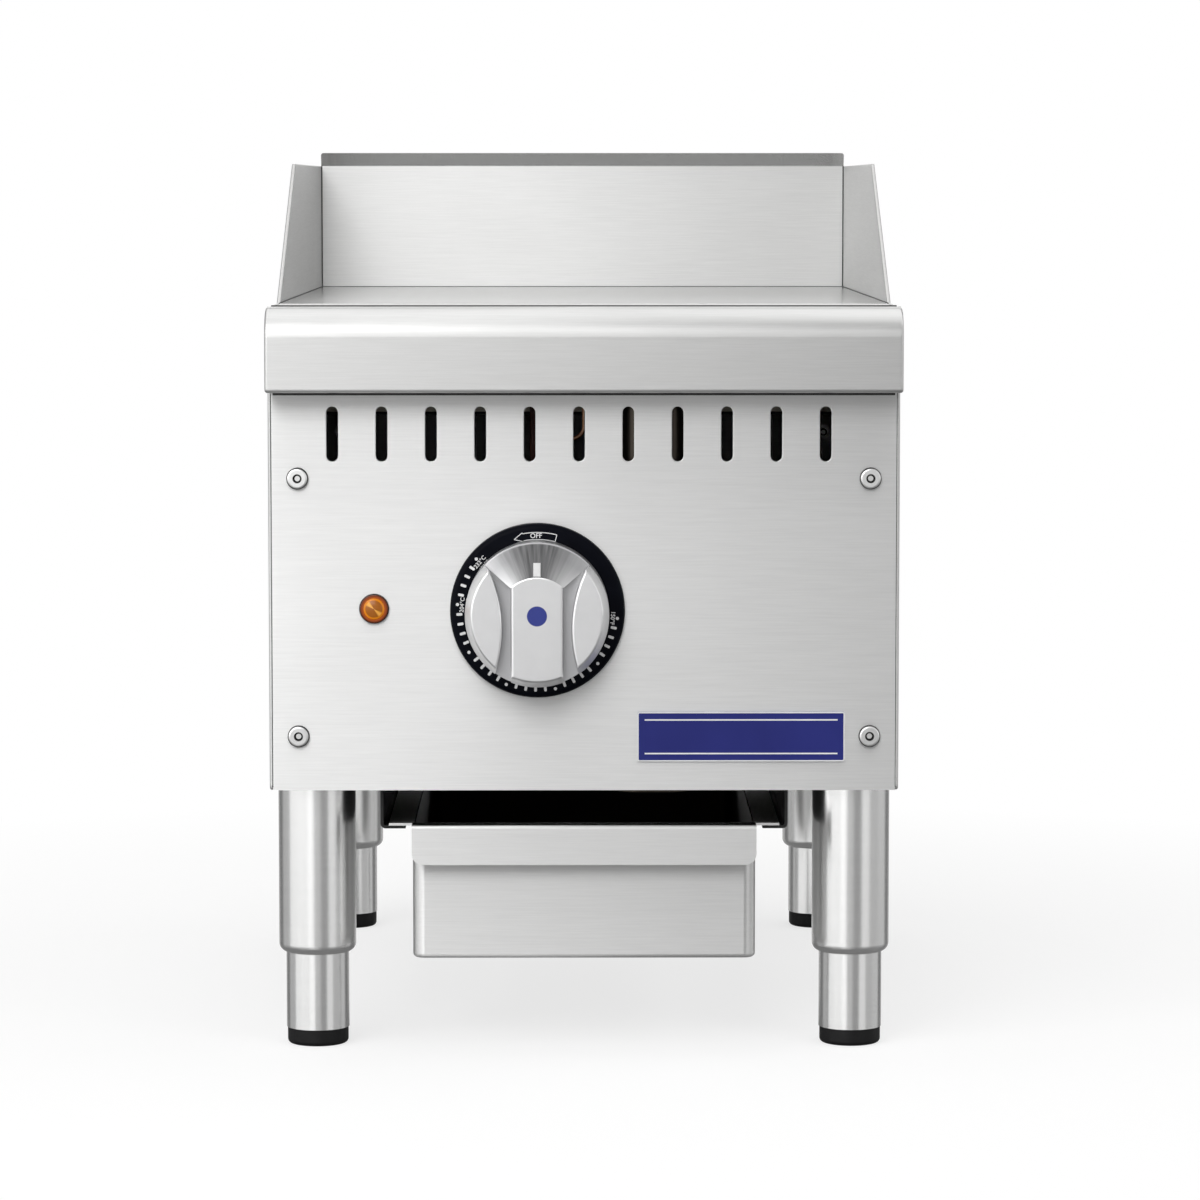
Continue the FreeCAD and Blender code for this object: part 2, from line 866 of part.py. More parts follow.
def lamp_body():
    rim = disc(lamp_rim_radius, 0, lamp_rim_thickness)
    def is_front_rim(box):
        return box.ZMin > lamp_rim_thickness - tolerance
    rim = rim.makeFillet(lamp_rim_rounding, edges_where(rim, is_front_rim))
    barrel = disc(lamp_barrel_radius, -lamp_barrel_length, 0)
    pocket = disc(lamp_lens_radius + lamp_clearance, lamp_pocket_floor, lamp_rim_thickness)
    return joined(rim, barrel).cut(pocket)


def lamp_lens():
    rim_level = lamp_pocket_floor + lamp_lens_thickness
    crown = rim_level + lamp_lens_dome
    dome_radius = (lamp_lens_radius ** 2 + lamp_lens_dome ** 2) / (2 * lamp_lens_dome)
    barrel = disc(lamp_lens_radius, lamp_pocket_floor, crown)
    return barrel.common(Part.makeSphere(dome_radius, Vector(0, 0, crown - dome_radius)))


def lamp_nut():
    low = -sheet - lamp_nut_height
    nut = hexagon(lamp_nut_width, low, -sheet)
    return nut.cut(disc(lamp_barrel_radius + nut_clearance, low, -sheet))


def save_lamp():
    def at_lamp(shape):
        return face_front(shape, lamp_x, lamp_height, panel_front)
    save("pilot_lamp_body", at_lamp(lamp_body()))
    save("pilot_lamp_lens", at_lamp(lamp_lens()))
    save("pilot_lamp_nut", at_lamp(lamp_nut()))


def badge_plate():
    low = badge_height - badge_width / 2
    high = badge_height + badge_width / 2
    outline = [
        (badge_x - badge_length / 2, low, badge_corner),
        (badge_x + badge_length / 2, low, badge_corner),
        (badge_x + badge_length / 2, high, badge_corner),
        (badge_x - badge_length / 2, high, badge_corner),
    ]
    return backwards(outline, panel_front - badge_thickness, panel_front)


# Heating

element_front = plate_front + element_front_inset
element_rear = splash_front - element_rear_inset


def element_legs():
    """Places across the width of the four passes of the right element."""
    return [element_gap / 2 + element_pitch * index for index in range(4)]


def heating_element():
    first, second, third, fourth = element_legs()
    corners = [
        (first, element_front), (first, element_rear), (second, element_rear),
        (second, element_front), (third, element_front), (third, element_rear),
        (fourth, element_rear), (fourth, element_front),
    ]
    points = [point(x, depth, element_level) for x, depth in corners]
    return round_rod(points, element_pitch / 2, element_radius)


def element_terminal(x):
    bead_front = element_front - terminal_bead_length
    bead = spindle(x, element_level, bead_front, element_front, terminal_bead_radius)
    pin = spindle(x, element_level, bead_front - terminal_pin_length, bead_front, terminal_pin_radius)
    lowered = joined(bead, pin)
    lowered.translate(Vector(0, 0, element_radius - terminal_bead_radius))
    return lowered


def terminal_places():
    first, second, third, fourth = element_legs()
    return [-fourth, -first, first, fourth]


def clamp_bar_depths():
    first = element_front + clamp_bar_end_inset
    last = element_rear - clamp_bar_end_inset
    return [first, (first + last) / 2, last]


def clamp_stud_places():
    x = element_gap / 2 + element_pitch * 2.5
    return [(side * x, depth) for side in (-1, 1) for depth in clamp_bar_depths()]


def clamp_bars():
    half = element_gap / 2 + element_pitch * 3 + clamp_bar_overhang
    bars = []
    for depth in clamp_bar_depths():
        low = depth - clamp_bar_width / 2
        bar = block(-half, half, low, low + clamp_bar_width, bar_bottom, bar_top)
        holes = [
            post(x, hole_depth, bar_bottom, bar_top, stud_radius + screw_hole_clearance)
            for x, hole_depth in clamp_stud_places() if hole_depth == depth
        ]
        bars.append(bar.cut(holes))
    return bars


def hex_nut(x, depth, z0, z1, across_flats, hole_radius):
    nut = hexagon(across_flats, z0, z1)
    nut.translate(point(x, depth, 0))
    return nut.cut(post(x, depth, z0, z1, hole_radius))


def save_heating():
    element = heating_element()
    save("right_heating_element", element)
    save("left_heating_element", mirrored(element))
    save("element_terminals", *[element_terminal(x) for x in terminal_places()])
    save("element_clamp_bars", *clamp_bars())
    places = clamp_stud_places()
    save("clamp_studs", *[post(x, depth, stud_end, plate_bottom, stud_radius) for x, depth in places])
    nut_bottom = bar_bottom - clamp_nut_height
    hole = stud_radius + nut_clearance
    nuts = [hex_nut(x, depth, nut_bottom, bar_bottom, clamp_nut_width, hole) for x, depth in places]
    save("clamp_nuts", *nuts)


def insulation_tray():
    floor = block(-inner_half, inner_half, tray_front, tray_rear, tray_top - sheet, tray_top)
    edge_x = inner_half - sheet
    edge = block(edge_x, inner_half, tray_front, tray_rear, tray_top, tray_top + tray_edge_height)
    return joined(floor, edge, mirrored(edge))


def insulation_blanket():
    half = inner_half - insulation_side_gap
    return block(-half, half, tray_front, tray_rear, tray_top, blanket_top)


def thermostat_bulb():
    """Sensing bulb under the plate, with its capillary running down to the thermostat."""
    level = plate_bottom - bulb_clearance - bulb_radius
    run_depth = plate_front + capillary_gap
    start = dial_height + thermostat_width / 2
    jog = start + capillary_jog_height
    bulb_front = plate_front + bulb_setback
    route = [
        point(dial_x, run_depth, start), point(dial_x, run_depth, jog), point(0, run_depth, jog),
        point(0, run_depth, level), point(0, bulb_front, level),
    ]
    capillary = round_rod(route, capillary_bend, capillary_radius)
    bulb = spindle(0, level, bulb_front, bulb_front + bulb_length, bulb_radius)
    return joined(capillary, bulb)


# Wiring

def element_leads():
    run_depth = element_front - terminal_bead_length - terminal_pin_length / 2
    pin_level = element_level + element_radius - terminal_bead_radius - terminal_pin_radius
    body_top = dial_height + thermostat_width / 2
    end_depth = panel_back + thermostat_depth / 2
    leads = []
    for x, rank in zip(terminal_places(), (2, 1, 1, 2)):
        end_x = dial_x + math.copysign(rank * element_lead_spread, x)
        level = body_top + element_lead_height + (2 - rank) * element_lead_step
        route = [
            point(x, run_depth, pin_level), point(x, run_depth, level), point(end_x, run_depth, level),
            point(end_x, end_depth, level), point(end_x, end_depth, body_top),
        ]
        leads.append(round_rod(route, lead_bend, lead_radius))
    return leads


def lamp_leads():
    back = panel_front + lamp_barrel_length
    run_depth = back + lamp_lead_run
    body_side = dial_x - thermostat_width / 2
    leads = []
    for side in (-1, 1):
        z = lamp_height + side * lamp_lead_spread
        route = [point(lamp_x, back, z), point(lamp_x, run_depth, z), point(body_side, run_depth, z)]
        leads.append(round_rod(route, lead_bend - lead_radius, lead_radius))
    return leads


terminal_rear = rear_inside - terminal_setback
terminal_front = terminal_rear - terminal_depth
terminal_pitch = terminal_length / terminal_poles


def supply_leads():
    body_back = panel_back + thermostat_depth
    rise_depth = body_back + supply_lead_rise_gap
    level = pan_top + terminal_height / 2
    end_z = dial_height - supply_lead_drop
    leads = []
    for side in (-1, 1):
        start_x = terminal_x + side * terminal_pitch
        end_x = dial_x + side * supply_lead_spread
        depth = rise_depth + (1 - side) * supply_lead_spread
        route = [
            point(start_x, terminal_front, level), point(start_x, depth, level), point(end_x, depth, level),
            point(end_x, depth, end_z), point(end_x, body_back, end_z),
        ]
        leads.append(round_rod(route, lead_bend, lead_radius))
    return leads


def terminal_block():
    low_x = terminal_x - terminal_length / 2
    high = pan_top + terminal_height
    base = block(low_x, low_x + terminal_length, terminal_front, terminal_rear, pan_top, high)
    notches = []
    for pole in range(terminal_poles):
        x = low_x + terminal_pitch * (pole + 0.5) - terminal_notch_width / 2
        notches.append(block(
            x, x + terminal_notch_width, terminal_rear - terminal_notch_depth, terminal_rear,
            high - terminal_notch_depth, high
        ))
    return base.cut(notches)


def cord_gland():
    """Gland body, face up from the rear panel: sleeve, hexagon flange and rounded neck."""
    neck = disc(gland_neck_radius, 0, gland_reach)
    neck = neck.makeFillet(gland_neck_rounding, edges_where(neck, lambda box: box.ZMin > tolerance))
    flange = hexagon(gland_flange_width, 0, gland_flange_thickness)
    sleeve = disc(gland_sleeve_radius, -gland_sleeve_length, 0)
    bore = disc(gland_bore_radius, -gland_sleeve_length, gland_reach)
    return joined(neck, flange, sleeve).cut(bore)


def gland_nut():
    low = -sheet - gland_nut_height
    nut = hexagon(gland_nut_width, low, -sheet)
    return nut.cut(disc(gland_sleeve_radius + nut_clearance, low, -sheet))


# Grease drawer and rails

def rounded_tub(half, depth0, depth1, low, corner_radius, bottom_radius):
    """Solid up to the drawer's top with rounded upright corners and a rounded bottom edge."""
    tub = rounded_block(-half, half, depth0, depth1, low, drawer_top, corner_radius)
    bottom_edges = edges_where(tub, lambda box: box.ZMax < low + tolerance)
    return tub.makeFillet(bottom_radius, bottom_edges)


def grease_drawer():
    drawer_rear = drawer_front + drawer_length
    wall = drawer_sheet
    shell = rounded_tub(
        drawer_half, drawer_front, drawer_rear, drawer_bottom, drawer_corner_radius, drawer_bottom_radius
    )
    hollow = rounded_tub(
        drawer_half - wall, drawer_front + wall, drawer_rear - wall, drawer_bottom + wall,
        drawer_corner_radius - wall, drawer_bottom_radius - wall
    )
    flange = block(
        drawer_half - wall, drawer_half + drawer_flange, drawer_front + drawer_flange_setback,
        drawer_rear - drawer_flange_setback, flange_bottom, drawer_top
    )
    return joined(shell.cut(hollow), flange, mirrored(flange), drawer_lip())


def drawer_lip():
    """Finger pull: the front's top edge folded forwards and down."""
    lip_bottom = lip_top - lip_height
    lip_back = lip_setback + drawer_sheet
    outline = [
        (lip_setback, lip_bottom, 0),
        (lip_setback, lip_top, lip_bend_radius),
        (drawer_front + drawer_sheet, lip_top, 0),
        (drawer_front + drawer_sheet, drawer_top, 0),
        (lip_back, drawer_top, lip_bend_radius - drawer_sheet),
        (lip_back, lip_bottom, 0),
    ]
    lip = across(outline, -drawer_half, drawer_half)

    def is_lower_corner(box):
        return box.ZMax < lip_bottom + tolerance and box.XLength < tolerance

    return lip.makeFillet(lip_corner_radius, edges_where(lip, is_lower_corner))


def drawer_rail():
    """Right rail: a channel under the pan whose lower lip carries the drawer's flange."""
    lip_bottom = rail_lip_top - sheet
    outer_web = rail_web + sheet
    outline = [
        (outer_web - rail_top_flange, body_clearance, 0),
        (outer_web, body_clearance, 0),
        (outer_web, lip_bottom, rail_bend_radius),
        (outer_web - rail_lip, lip_bottom, 0),
        (outer_web - rail_lip, rail_lip_top, 0),
        (rail_web, rail_lip_top, rail_bend_radius - sheet),
        (rail_web, body_clearance - sheet, 0),
        (outer_web - rail_top_flange, body_clearance - sheet, 0),
    ]
    rail = backwards(outline, rail_front, rail_front + rail_length)
    hole = rail_screw_radius + screw_hole_clearance
    low = body_clearance - sheet
    holes = [post(x, depth, low, body_clearance, hole) for x, depth in rail_screw_places() if x > 0]
    return rail.cut(holes)


def rail_screws():
    head_top = body_clearance - sheet
    head_bottom = head_top - rail_screw_head_height
    screws = []
    for x, depth in rail_screw_places():
        head = post(x, depth, head_bottom, head_top, rail_screw_head_radius)
        shank = post(x, depth, head_top, head_top + rail_screw_length, rail_screw_radius)
        screws.append(joined(head, shank))
    return screws


# Legs

def leg_tube(x, depth):
    tube = post(x, depth, leg_bottom, body_clearance, leg_radius)
    def is_bottom(box):
        return box.ZMax < leg_bottom + tolerance
    tube = tube.makeFillet(leg_shoulder_radius, edges_where(tube, is_bottom))
    cap_bottom = body_clearance - leg_cap
    bore = post(x, depth, leg_bottom + leg_shoulder, cap_bottom, leg_radius - leg_wall)
    mouth = post(x, depth, leg_bottom, leg_bottom + leg_shoulder, foot_bore_radius)
    stud_hole = post(x, depth, cap_bottom, body_clearance, leg_stud_radius + nut_clearance)
    return tube.cut([bore, mouth, stud_hole])


def leg_bush(x, depth):
    low = leg_bottom + leg_shoulder
    ring = post(x, depth, low, low + bush_height, leg_radius - leg_wall)
    return ring.cut(post(x, depth, low, low + bush_height, foot_radius + thread_clearance))


def foot_tube(x, depth):
    tube = post(x, depth, pad_height, foot_tube_top, foot_radius)
    return tube.cut(post(x, depth, pad_height, foot_tube_top, foot_radius - foot_wall))


def foot_pad(x, depth):
    pad = post(x, depth, 0, pad_height, pad_radius)
    def is_bottom(box):
        return box.ZMax < tolerance
    pad = pad.makeFillet(pad_rounding, edges_where(pad, is_bottom))
    plug = post(x, depth, pad_height, pad_height + pad_plug_height, foot_radius - foot_wall - pad_fit)
    return joined(pad, plug)


def save_legs():
    stud_bottom = body_clearance - leg_cap
    stud_top = pan_top + leg_stud_rise
    nut_top = pan_top + leg_nut_height
    hole = leg_stud_radius + nut_clearance
    for name, (x, depth) in legs.items():
        save(name + "_leg", leg_tube(x, depth))
        save(name + "_foot_tube", foot_tube(x, depth))
        save(name + "_foot_pad", foot_pad(x, depth))
    places = list(legs.values())
    save("leg_bushes", *[leg_bush(x, depth) for x, depth in places])
    save("leg_studs", *[post(x, depth, stud_bottom, stud_top, leg_stud_radius) for x, depth in places])
    save("leg_nuts", *[hex_nut(x, depth, pan_top, nut_top, leg_nut_width, hole) for x, depth in places])


# Write every piece

def save_body():
    guard = side_guard()
    side = side_panel()
    save("griddle_plate", griddle_plate())
    save("right_guard", guard)
    save("left_guard", mirrored(guard))
    save("rear_splash", rear_splash())
    save("front_nose", front_nose())
    save("grease_trough", grease_trough())
    save("grease_chute", grease_chute())
    save("front_panel", front_panel())
    save("right_side_panel", side)
    save("left_side_panel", mirrored(side))
    save("rear_panel", rear_panel())
    save("bottom_pan", bottom_pan())
    save("badge_plate", badge_plate())
    save("insulation_tray", insulation_tray())
    save("insulation_blanket", insulation_blanket())


def save_wiring():
    save("thermostat_bulb", thermostat_bulb())
    save("element_leads", *element_leads())
    save("lamp_leads", *lamp_leads())
    save("supply_leads", *supply_leads())
    save("terminal_block", terminal_block())
    save("cord_gland", face_rear(cord_gland(), gland_x, gland_height, body_depth))
    save("gland_nut", face_rear(gland_nut(), gland_x, gland_height, body_depth))


def save_drawer():
    rail = drawer_rail()
    save("grease_drawer", grease_drawer())
    save("right_drawer_rail", rail)
    save("left_drawer_rail", mirrored(rail))
    save("rail_screws", *rail_screws())


save_body()
save_panel_fixings()
save_dial()
save_lamp()
save_heating()
save_wiring()
save_drawer()
save_legs()
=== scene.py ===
"""Looks, studio and camera for an electric countertop griddle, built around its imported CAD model."""
import logging
import math
from dataclasses import dataclass, field, replace
from enum import Enum
from typing import Sequence

import bmesh
import bpy
from mathutils import Matrix, Quaternion, Vector


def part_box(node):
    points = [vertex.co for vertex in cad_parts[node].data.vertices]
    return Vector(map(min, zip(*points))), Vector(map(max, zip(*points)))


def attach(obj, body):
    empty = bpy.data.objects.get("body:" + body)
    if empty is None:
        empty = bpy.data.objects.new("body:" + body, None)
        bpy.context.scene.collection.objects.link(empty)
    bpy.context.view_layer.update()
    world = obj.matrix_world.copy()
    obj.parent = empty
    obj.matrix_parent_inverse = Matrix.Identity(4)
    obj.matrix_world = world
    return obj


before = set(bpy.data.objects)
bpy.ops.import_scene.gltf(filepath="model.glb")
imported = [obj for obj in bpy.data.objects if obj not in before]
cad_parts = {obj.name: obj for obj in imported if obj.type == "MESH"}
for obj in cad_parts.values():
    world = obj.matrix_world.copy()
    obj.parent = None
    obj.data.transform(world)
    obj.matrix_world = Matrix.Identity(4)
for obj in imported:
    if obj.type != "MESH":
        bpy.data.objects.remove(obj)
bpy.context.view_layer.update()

LOG = logging.getLogger("griddle")
Triple = tuple[float, float, float]
Colour = Triple
Range = tuple[float, float]
Shape = bmesh.types.BMesh
Socket = bpy.types.NodeSocket

# Ranges that patterns and masks are spread from and to
CONTRAST = (0.3, 0.7)
RISING = (0.0, 1.0)
FALLING = (1.0, 0.0)

WHITE = (1.0, 1.0, 1.0)
ORIGIN = (0.0, 0.0, 0.0)
WELD = 1e-7
AIM = Vector((0.0, 0.0, 0.22))


def grey(level: float, blue: float = 0.0) -> Colour:
    """Give a grey with a little more or less blue."""
    return (level, level, level + blue)


def steel(level: float) -> Colour:
    """Give the grey of steel, a touch short of blue."""
    return grey(level, -0.005)


def front_centre(low: Vector, high: Vector) -> Vector:
    """Give the middle of a box's front face."""
    return Vector(((low.x + high.x) / 2, low.y, (low.z + high.z) / 2))


def aimed(place: Triple, axis: str) -> Quaternion:
    """Turn an axis of something at a place towards the middle of the griddle."""
    return (AIM - Vector(place)).to_track_quat(axis, "Y")


def empty_tree(owner: bpy.types.ID) -> bpy.types.NodeTree:
    """Give a material or world an empty shader tree.

    Args:
        owner: the material or world.

    Returns:
        Its tree.
    """
    owner.use_nodes = True
    owner.node_tree.nodes.clear()
    return owner.node_tree


class GrainRun(Enum):
    """Axes that the brushing runs along: on faces that look forwards or up, then on sideways ones."""

    LEVEL = ("X", "Y")
    LENGTHWISE = ("Y", "Y")
    UPRIGHT = ("Z", "Z")
    RINGS = ("XY", "XY")
    TURNED = ("XZ", "XZ")

    def stretch(self, along: float, across: float) -> list[Triple]:
        """Scale the pattern by its cycles per metre along and across the grain, on both kinds of face."""
        return [tuple(along if axis in axes else across for axis in "XYZ") for axes in self.value]


class Graph:
    """Adds nodes to one shader tree and joins them."""

    def __init__(self, tree: bpy.types.NodeTree) -> None:
        """Keep the tree that the nodes go into."""
        self.tree = tree

    def add(self, kind: str, inputs: dict | None = None, **settings: object) -> bpy.types.Node:
        """Add one node and feed it.

        Args:
            kind: the node's type name.
            inputs: what feeds its inputs, by their name or number.
            settings: properties to set on it.

        Returns:
            The new node.
        """
        node = self.tree.nodes.new(kind)
        for name, value in settings.items():
            setattr(node, name, value)
        for key, value in (inputs or {}).items():
            self.feed(node.inputs[key], value)
        return node

    def feed(self, target: Socket, value: object) -> None:
        """Link a socket to another, or set its value.

        Args:
            target: the input socket.
            value: an output socket, a number or a sequence of numbers.
        """
        if isinstance(value, Socket):
            self.tree.links.new(value, target)
        elif isinstance(value, (int, float)):
            target.default_value = value
        else:
            numbers = tuple(value)
            target.default_value = numbers + (1.0,) if target.type == "RGBA" else numbers

    def close(self, shader: Socket, kind: str = "ShaderNodeOutputMaterial") -> None:
        """Join a shader to the tree's one output."""
        found = [node for node in self.tree.nodes if node.bl_idname == kind]
        self.feed((found or [self.add(kind)])[0].inputs["Surface"], shader)

    def math(self, operation: str, first: object, second: object = 0.0) -> Socket:
        """Work out one number from two."""
        return self.add("ShaderNodeMath", {0: first, 1: second}, operation=operation).outputs[0]

    def vector(self, operation: str, first: object, second: object = ORIGIN) -> Socket:
        """Work out one vector from two."""
        node = self.add("ShaderNodeVectorMath", {0: first, 1: second}, operation=operation)
        return node.outputs["Vector"]

    def length(self, vector: object) -> Socket:
        """Give a vector's length."""
        return self.add("ShaderNodeVectorMath", {0: vector}, operation="LENGTH").outputs["Value"]

    def radius(self, offset: object) -> Socket:
        """Give the distance from an axis that runs from front to back."""
        return self.length(self.vector("MULTIPLY", offset, (1.0, 0.0, 1.0)))

    def axis(self, vector: object, name: str) -> Socket:
        """Give a vector's X, Y or Z."""
        return self.add("ShaderNodeSeparateXYZ", {0: vector}).outputs[name]

    def noise(self, vector: object, detail: float, roughness: float, scale: float = 1.0) -> Socket:
        """Read a noise pattern, from 0 to 1, at a place."""
        inputs = {"Vector": vector, "Scale": scale, "Detail": detail, "Roughness": roughness}
        return self.add("ShaderNodeTexNoise", inputs).outputs["Fac"]

    def spread(self, value: object, source: Range, target: Range) -> Socket:
        """Map one range of numbers onto another, clamped."""
        ends = zip(("From Min", "From Max", "To Min", "To Max"), (*source, *target))
        return self.add("ShaderNodeMapRange", {"Value": value, **dict(ends)}).outputs["Result"]

    def blend(self, factor: object, first: object, second: object) -> Socket:
        """Mix two colours, all of the first at 0 and all of the second at 1."""
        return self.add("ShaderNodeMix", {0: factor, 6: first, 7: second}, data_type="RGBA").outputs[2]

    def layer(self, factor: object, first: Socket, second: Socket) -> Socket:
        """Mix two shaders, all of the first at 0 and all of the second at 1."""
        return self.add("ShaderNodeMixShader", {0: factor, 1: first, 2: second}).outputs[0]

    def glow(self, colour: Colour, strength: object = 1.0) -> Socket:
        """Add a shader that gives light of its own."""
        return self.add("ShaderNodeEmission", {"Color": colour, "Strength": strength}).outputs[0]

    def bump(self, height: object, distance: float, strength: float) -> Socket:
        """Turn a height, whose range spans a distance in metres, into a normal."""
        inputs = {"Height": height, "Distance": distance, "Strength": strength}
        return self.add("ShaderNodeBump", inputs).outputs["Normal"]


class Surface(Graph):
    """The graph of a material with one main shader."""

    def __init__(self, name: str) -> None:
        """Start a material with its shader and the piece's own coordinates.

        Args:
            name: the material's name.
        """
        self.material = bpy.data.materials.new(name)
        super().__init__(empty_tree(self.material))
        self.shader = self.add("ShaderNodeBsdfPrincipled")
        self.close(self.shader.outputs["BSDF"])
        coordinates = self.add("ShaderNodeTexCoord").outputs
        self.place = coordinates["Object"]
        self.normal = coordinates["Normal"]

    def put(self, name: str, value: object) -> None:
        """Feed one of the shader's inputs."""
        self.feed(self.shader.inputs[name], value)

    def fed_by(self, name: str) -> Socket:
        """Give the socket that feeds one of the shader's inputs."""
        return self.shader.inputs[name].links[0].from_socket


class SharedGroups:
    """Shader groups that more than one finish uses, each built once."""

    sideways = 0.7
    fine_share = 0.75
    coarse_scale = (0.27, 0.27, 0.27)
    cloud_scale = 11.0
    slow_scale = (0.06, 0.06, 0.06)

    @staticmethod
    def start(
        name: str, inputs: dict[str, str], outputs: Sequence[str],
    ) -> tuple[Graph, bpy.types.NodeOutputs, bpy.types.NodeInputs]:
        """Make an empty group with its sockets.

        Args:
            name: the group's name.
            inputs: socket names and their types.
            outputs: names of the value outputs.

        Returns:
            The group's graph, the sockets that come into it and the ones that leave it.
        """
        tree = bpy.data.node_groups.new(name, "ShaderNodeTree")
        for socket, kind in inputs.items():
            tree.interface.new_socket(socket, in_out="INPUT", socket_type=kind)
        for socket in outputs:
            tree.interface.new_socket(socket, in_out="OUTPUT", socket_type="NodeSocketFloat")
        graph = Graph(tree)
        return graph, graph.add("NodeGroupInput").outputs, graph.add("NodeGroupOutput").inputs

    @classmethod
    def grain(cls) -> bpy.types.NodeTree:
        """Brushed grain, whose scale differs on faces that look sideways.

        Returns:
            A group that puts out the fine grain and a slow clouding.
        """
        found = bpy.data.node_groups.get("brushed_grain")
        if found:
            return found
        names = ("Vector", "Normal", "Front Scale", "Side Scale")
        inputs = dict.fromkeys(names, "NodeSocketVector")
        graph, source, result = cls.start("brushed_grain", inputs, ("Grain", "Cloud"))
        across = graph.math("ABSOLUTE", graph.axis(source["Normal"], "X"))
        sideways = graph.math("GREATER_THAN", across, cls.sideways)
        choice = {0: sideways, 4: source["Front Scale"], 5: source["Side Scale"]}
        scale = graph.add("ShaderNodeMix", choice, data_type="VECTOR").outputs[1]
        place = graph.vector("MULTIPLY", source["Vector"], scale)
        fine = graph.noise(place, detail=2.0, roughness=0.55)
        slower = graph.vector("MULTIPLY", place, cls.coarse_scale)
        coarse = graph.noise(slower, detail=2.0, roughness=0.6)
        weighted = graph.math("MULTIPLY", coarse, 1.0 - cls.fine_share)
        sums = {0: fine, 1: cls.fine_share, 2: weighted}
        graph.feed(result["Grain"], graph.add("ShaderNodeMath", sums, operation="MULTIPLY_ADD").outputs[0])
        cloud = graph.noise(source["Vector"], detail=3.0, roughness=0.5, scale=cls.cloud_scale)
        graph.feed(result["Cloud"], cloud)
        return graph.tree

    @classmethod
    def mottle(cls) -> bpy.types.NodeTree:
        """Fine moulded texture with a slower unevenness.

        Returns:
            A group that puts out the fine texture and the unevenness.
        """
        found = bpy.data.node_groups.get("moulded_mottle")
        if found:
            return found
        inputs = {"Vector": "NodeSocketVector", "Scale": "NodeSocketFloat"}
        graph, source, result = cls.start("moulded_mottle", inputs, ("Texture", "Unevenness"))
        sizing = {0: source["Vector"], "Scale": source["Scale"]}
        place = graph.add("ShaderNodeVectorMath", sizing, operation="SCALE").outputs["Vector"]
        graph.feed(result["Texture"], graph.noise(place, detail=3.0, roughness=0.6))
        slow = graph.vector("MULTIPLY", place, cls.slow_scale)
        graph.feed(result["Unevenness"], graph.noise(slow, detail=2.0, roughness=0.5))
        return graph.tree


@dataclass(frozen=True)
class Finish:
    """A named surface finish that builds its material once."""

    name: str
    pale: Colour
    dark: Colour
    roughness: float = 0.4
    unevenness: float = 0.08

    def material(self) -> bpy.types.Material:
        """Give the finish's material, building it on first use.

        Returns:
            The material.
        """
        title = f"{self.name}_finish"
        found = bpy.data.materials.get(title)
        if found:
            return found
        surface = Surface(title)
        self.paint(surface)
        return surface.material

    def paint(self, surface: Surface) -> None:
        """Set the shader up; each kind of finish does its own."""
        raise NotImplementedError

    def vary(self, surface: Surface, shade: Socket, gloss: Socket) -> None:
        """Let the colour and the roughness follow patterns.

        Args:
            surface: the material's graph.
            shade: the pattern of the colour, from dark to pale.
            gloss: the pattern of the roughness.
        """
        tone = surface.spread(shade, CONTRAST, RISING)
        surface.put("Base Color", surface.blend(tone, self.dark, self.pale))
        limits = (self.roughness - self.unevenness, self.roughness + self.unevenness)
        surface.put("Roughness", surface.spread(gloss, CONTRAST, limits))


@dataclass(frozen=True)
class BrushedMetal(Finish):
    """Bare metal with a brushed, ground or drawn grain."""

    roughness: float = 0.36
    unevenness: float = 0.04
    run: GrainRun = GrainRun.LEVEL
    along: float = 45.0
    across: float = 1500.0
    relief: float = 0.00002
    relief_share: float = 0.12
    anisotropy: float = 0.0
    stretch_turn: float = 0.25

    def paint(self, surface: Surface) -> None:
        """Let the metal's colour, gloss and relief follow the grain.

        Args:
            surface: the material's graph.
        """
        front, side = self.run.stretch(self.along, self.across)
        scales = {"Front Scale": front, "Side Scale": side}
        inputs = {"Vector": surface.place, "Normal": surface.normal, **scales}
        group = surface.add("ShaderNodeGroup", inputs, node_tree=SharedGroups.grain()).outputs
        grain = group["Grain"]
        average = surface.math("MULTIPLY", surface.math("ADD", grain, group["Cloud"]), 0.5)
        self.vary(surface, grain, average)
        surface.put("Normal", surface.bump(grain, self.relief, self.relief_share))
        surface.put("Metallic", 1.0)
        surface.put("Anisotropic", self.anisotropy)
        surface.put("Anisotropic Rotation", self.stretch_turn)


@dataclass(frozen=True)
class MouldedPlastic(Finish):
    """Plastic, rubber, ceramic or paint with a fine moulded texture."""

    scale: float = 900.0
    relief: float = 0.00004
    relief_share: float = 0.3
    specular: float = 0.5

    def paint(self, surface: Surface) -> None:
        """Let the plastic's colour, gloss and relief follow the mottle.

        Args:
            surface: the material's graph.
        """
        inputs = {"Vector": surface.place, "Scale": self.scale}
        group = surface.add("ShaderNodeGroup", inputs, node_tree=SharedGroups.mottle()).outputs
        self.vary(surface, group["Unevenness"], group["Texture"])
        surface.put("Normal", surface.bump(group["Texture"], self.relief, self.relief_share))
        surface.put("Specular IOR Level", self.specular)


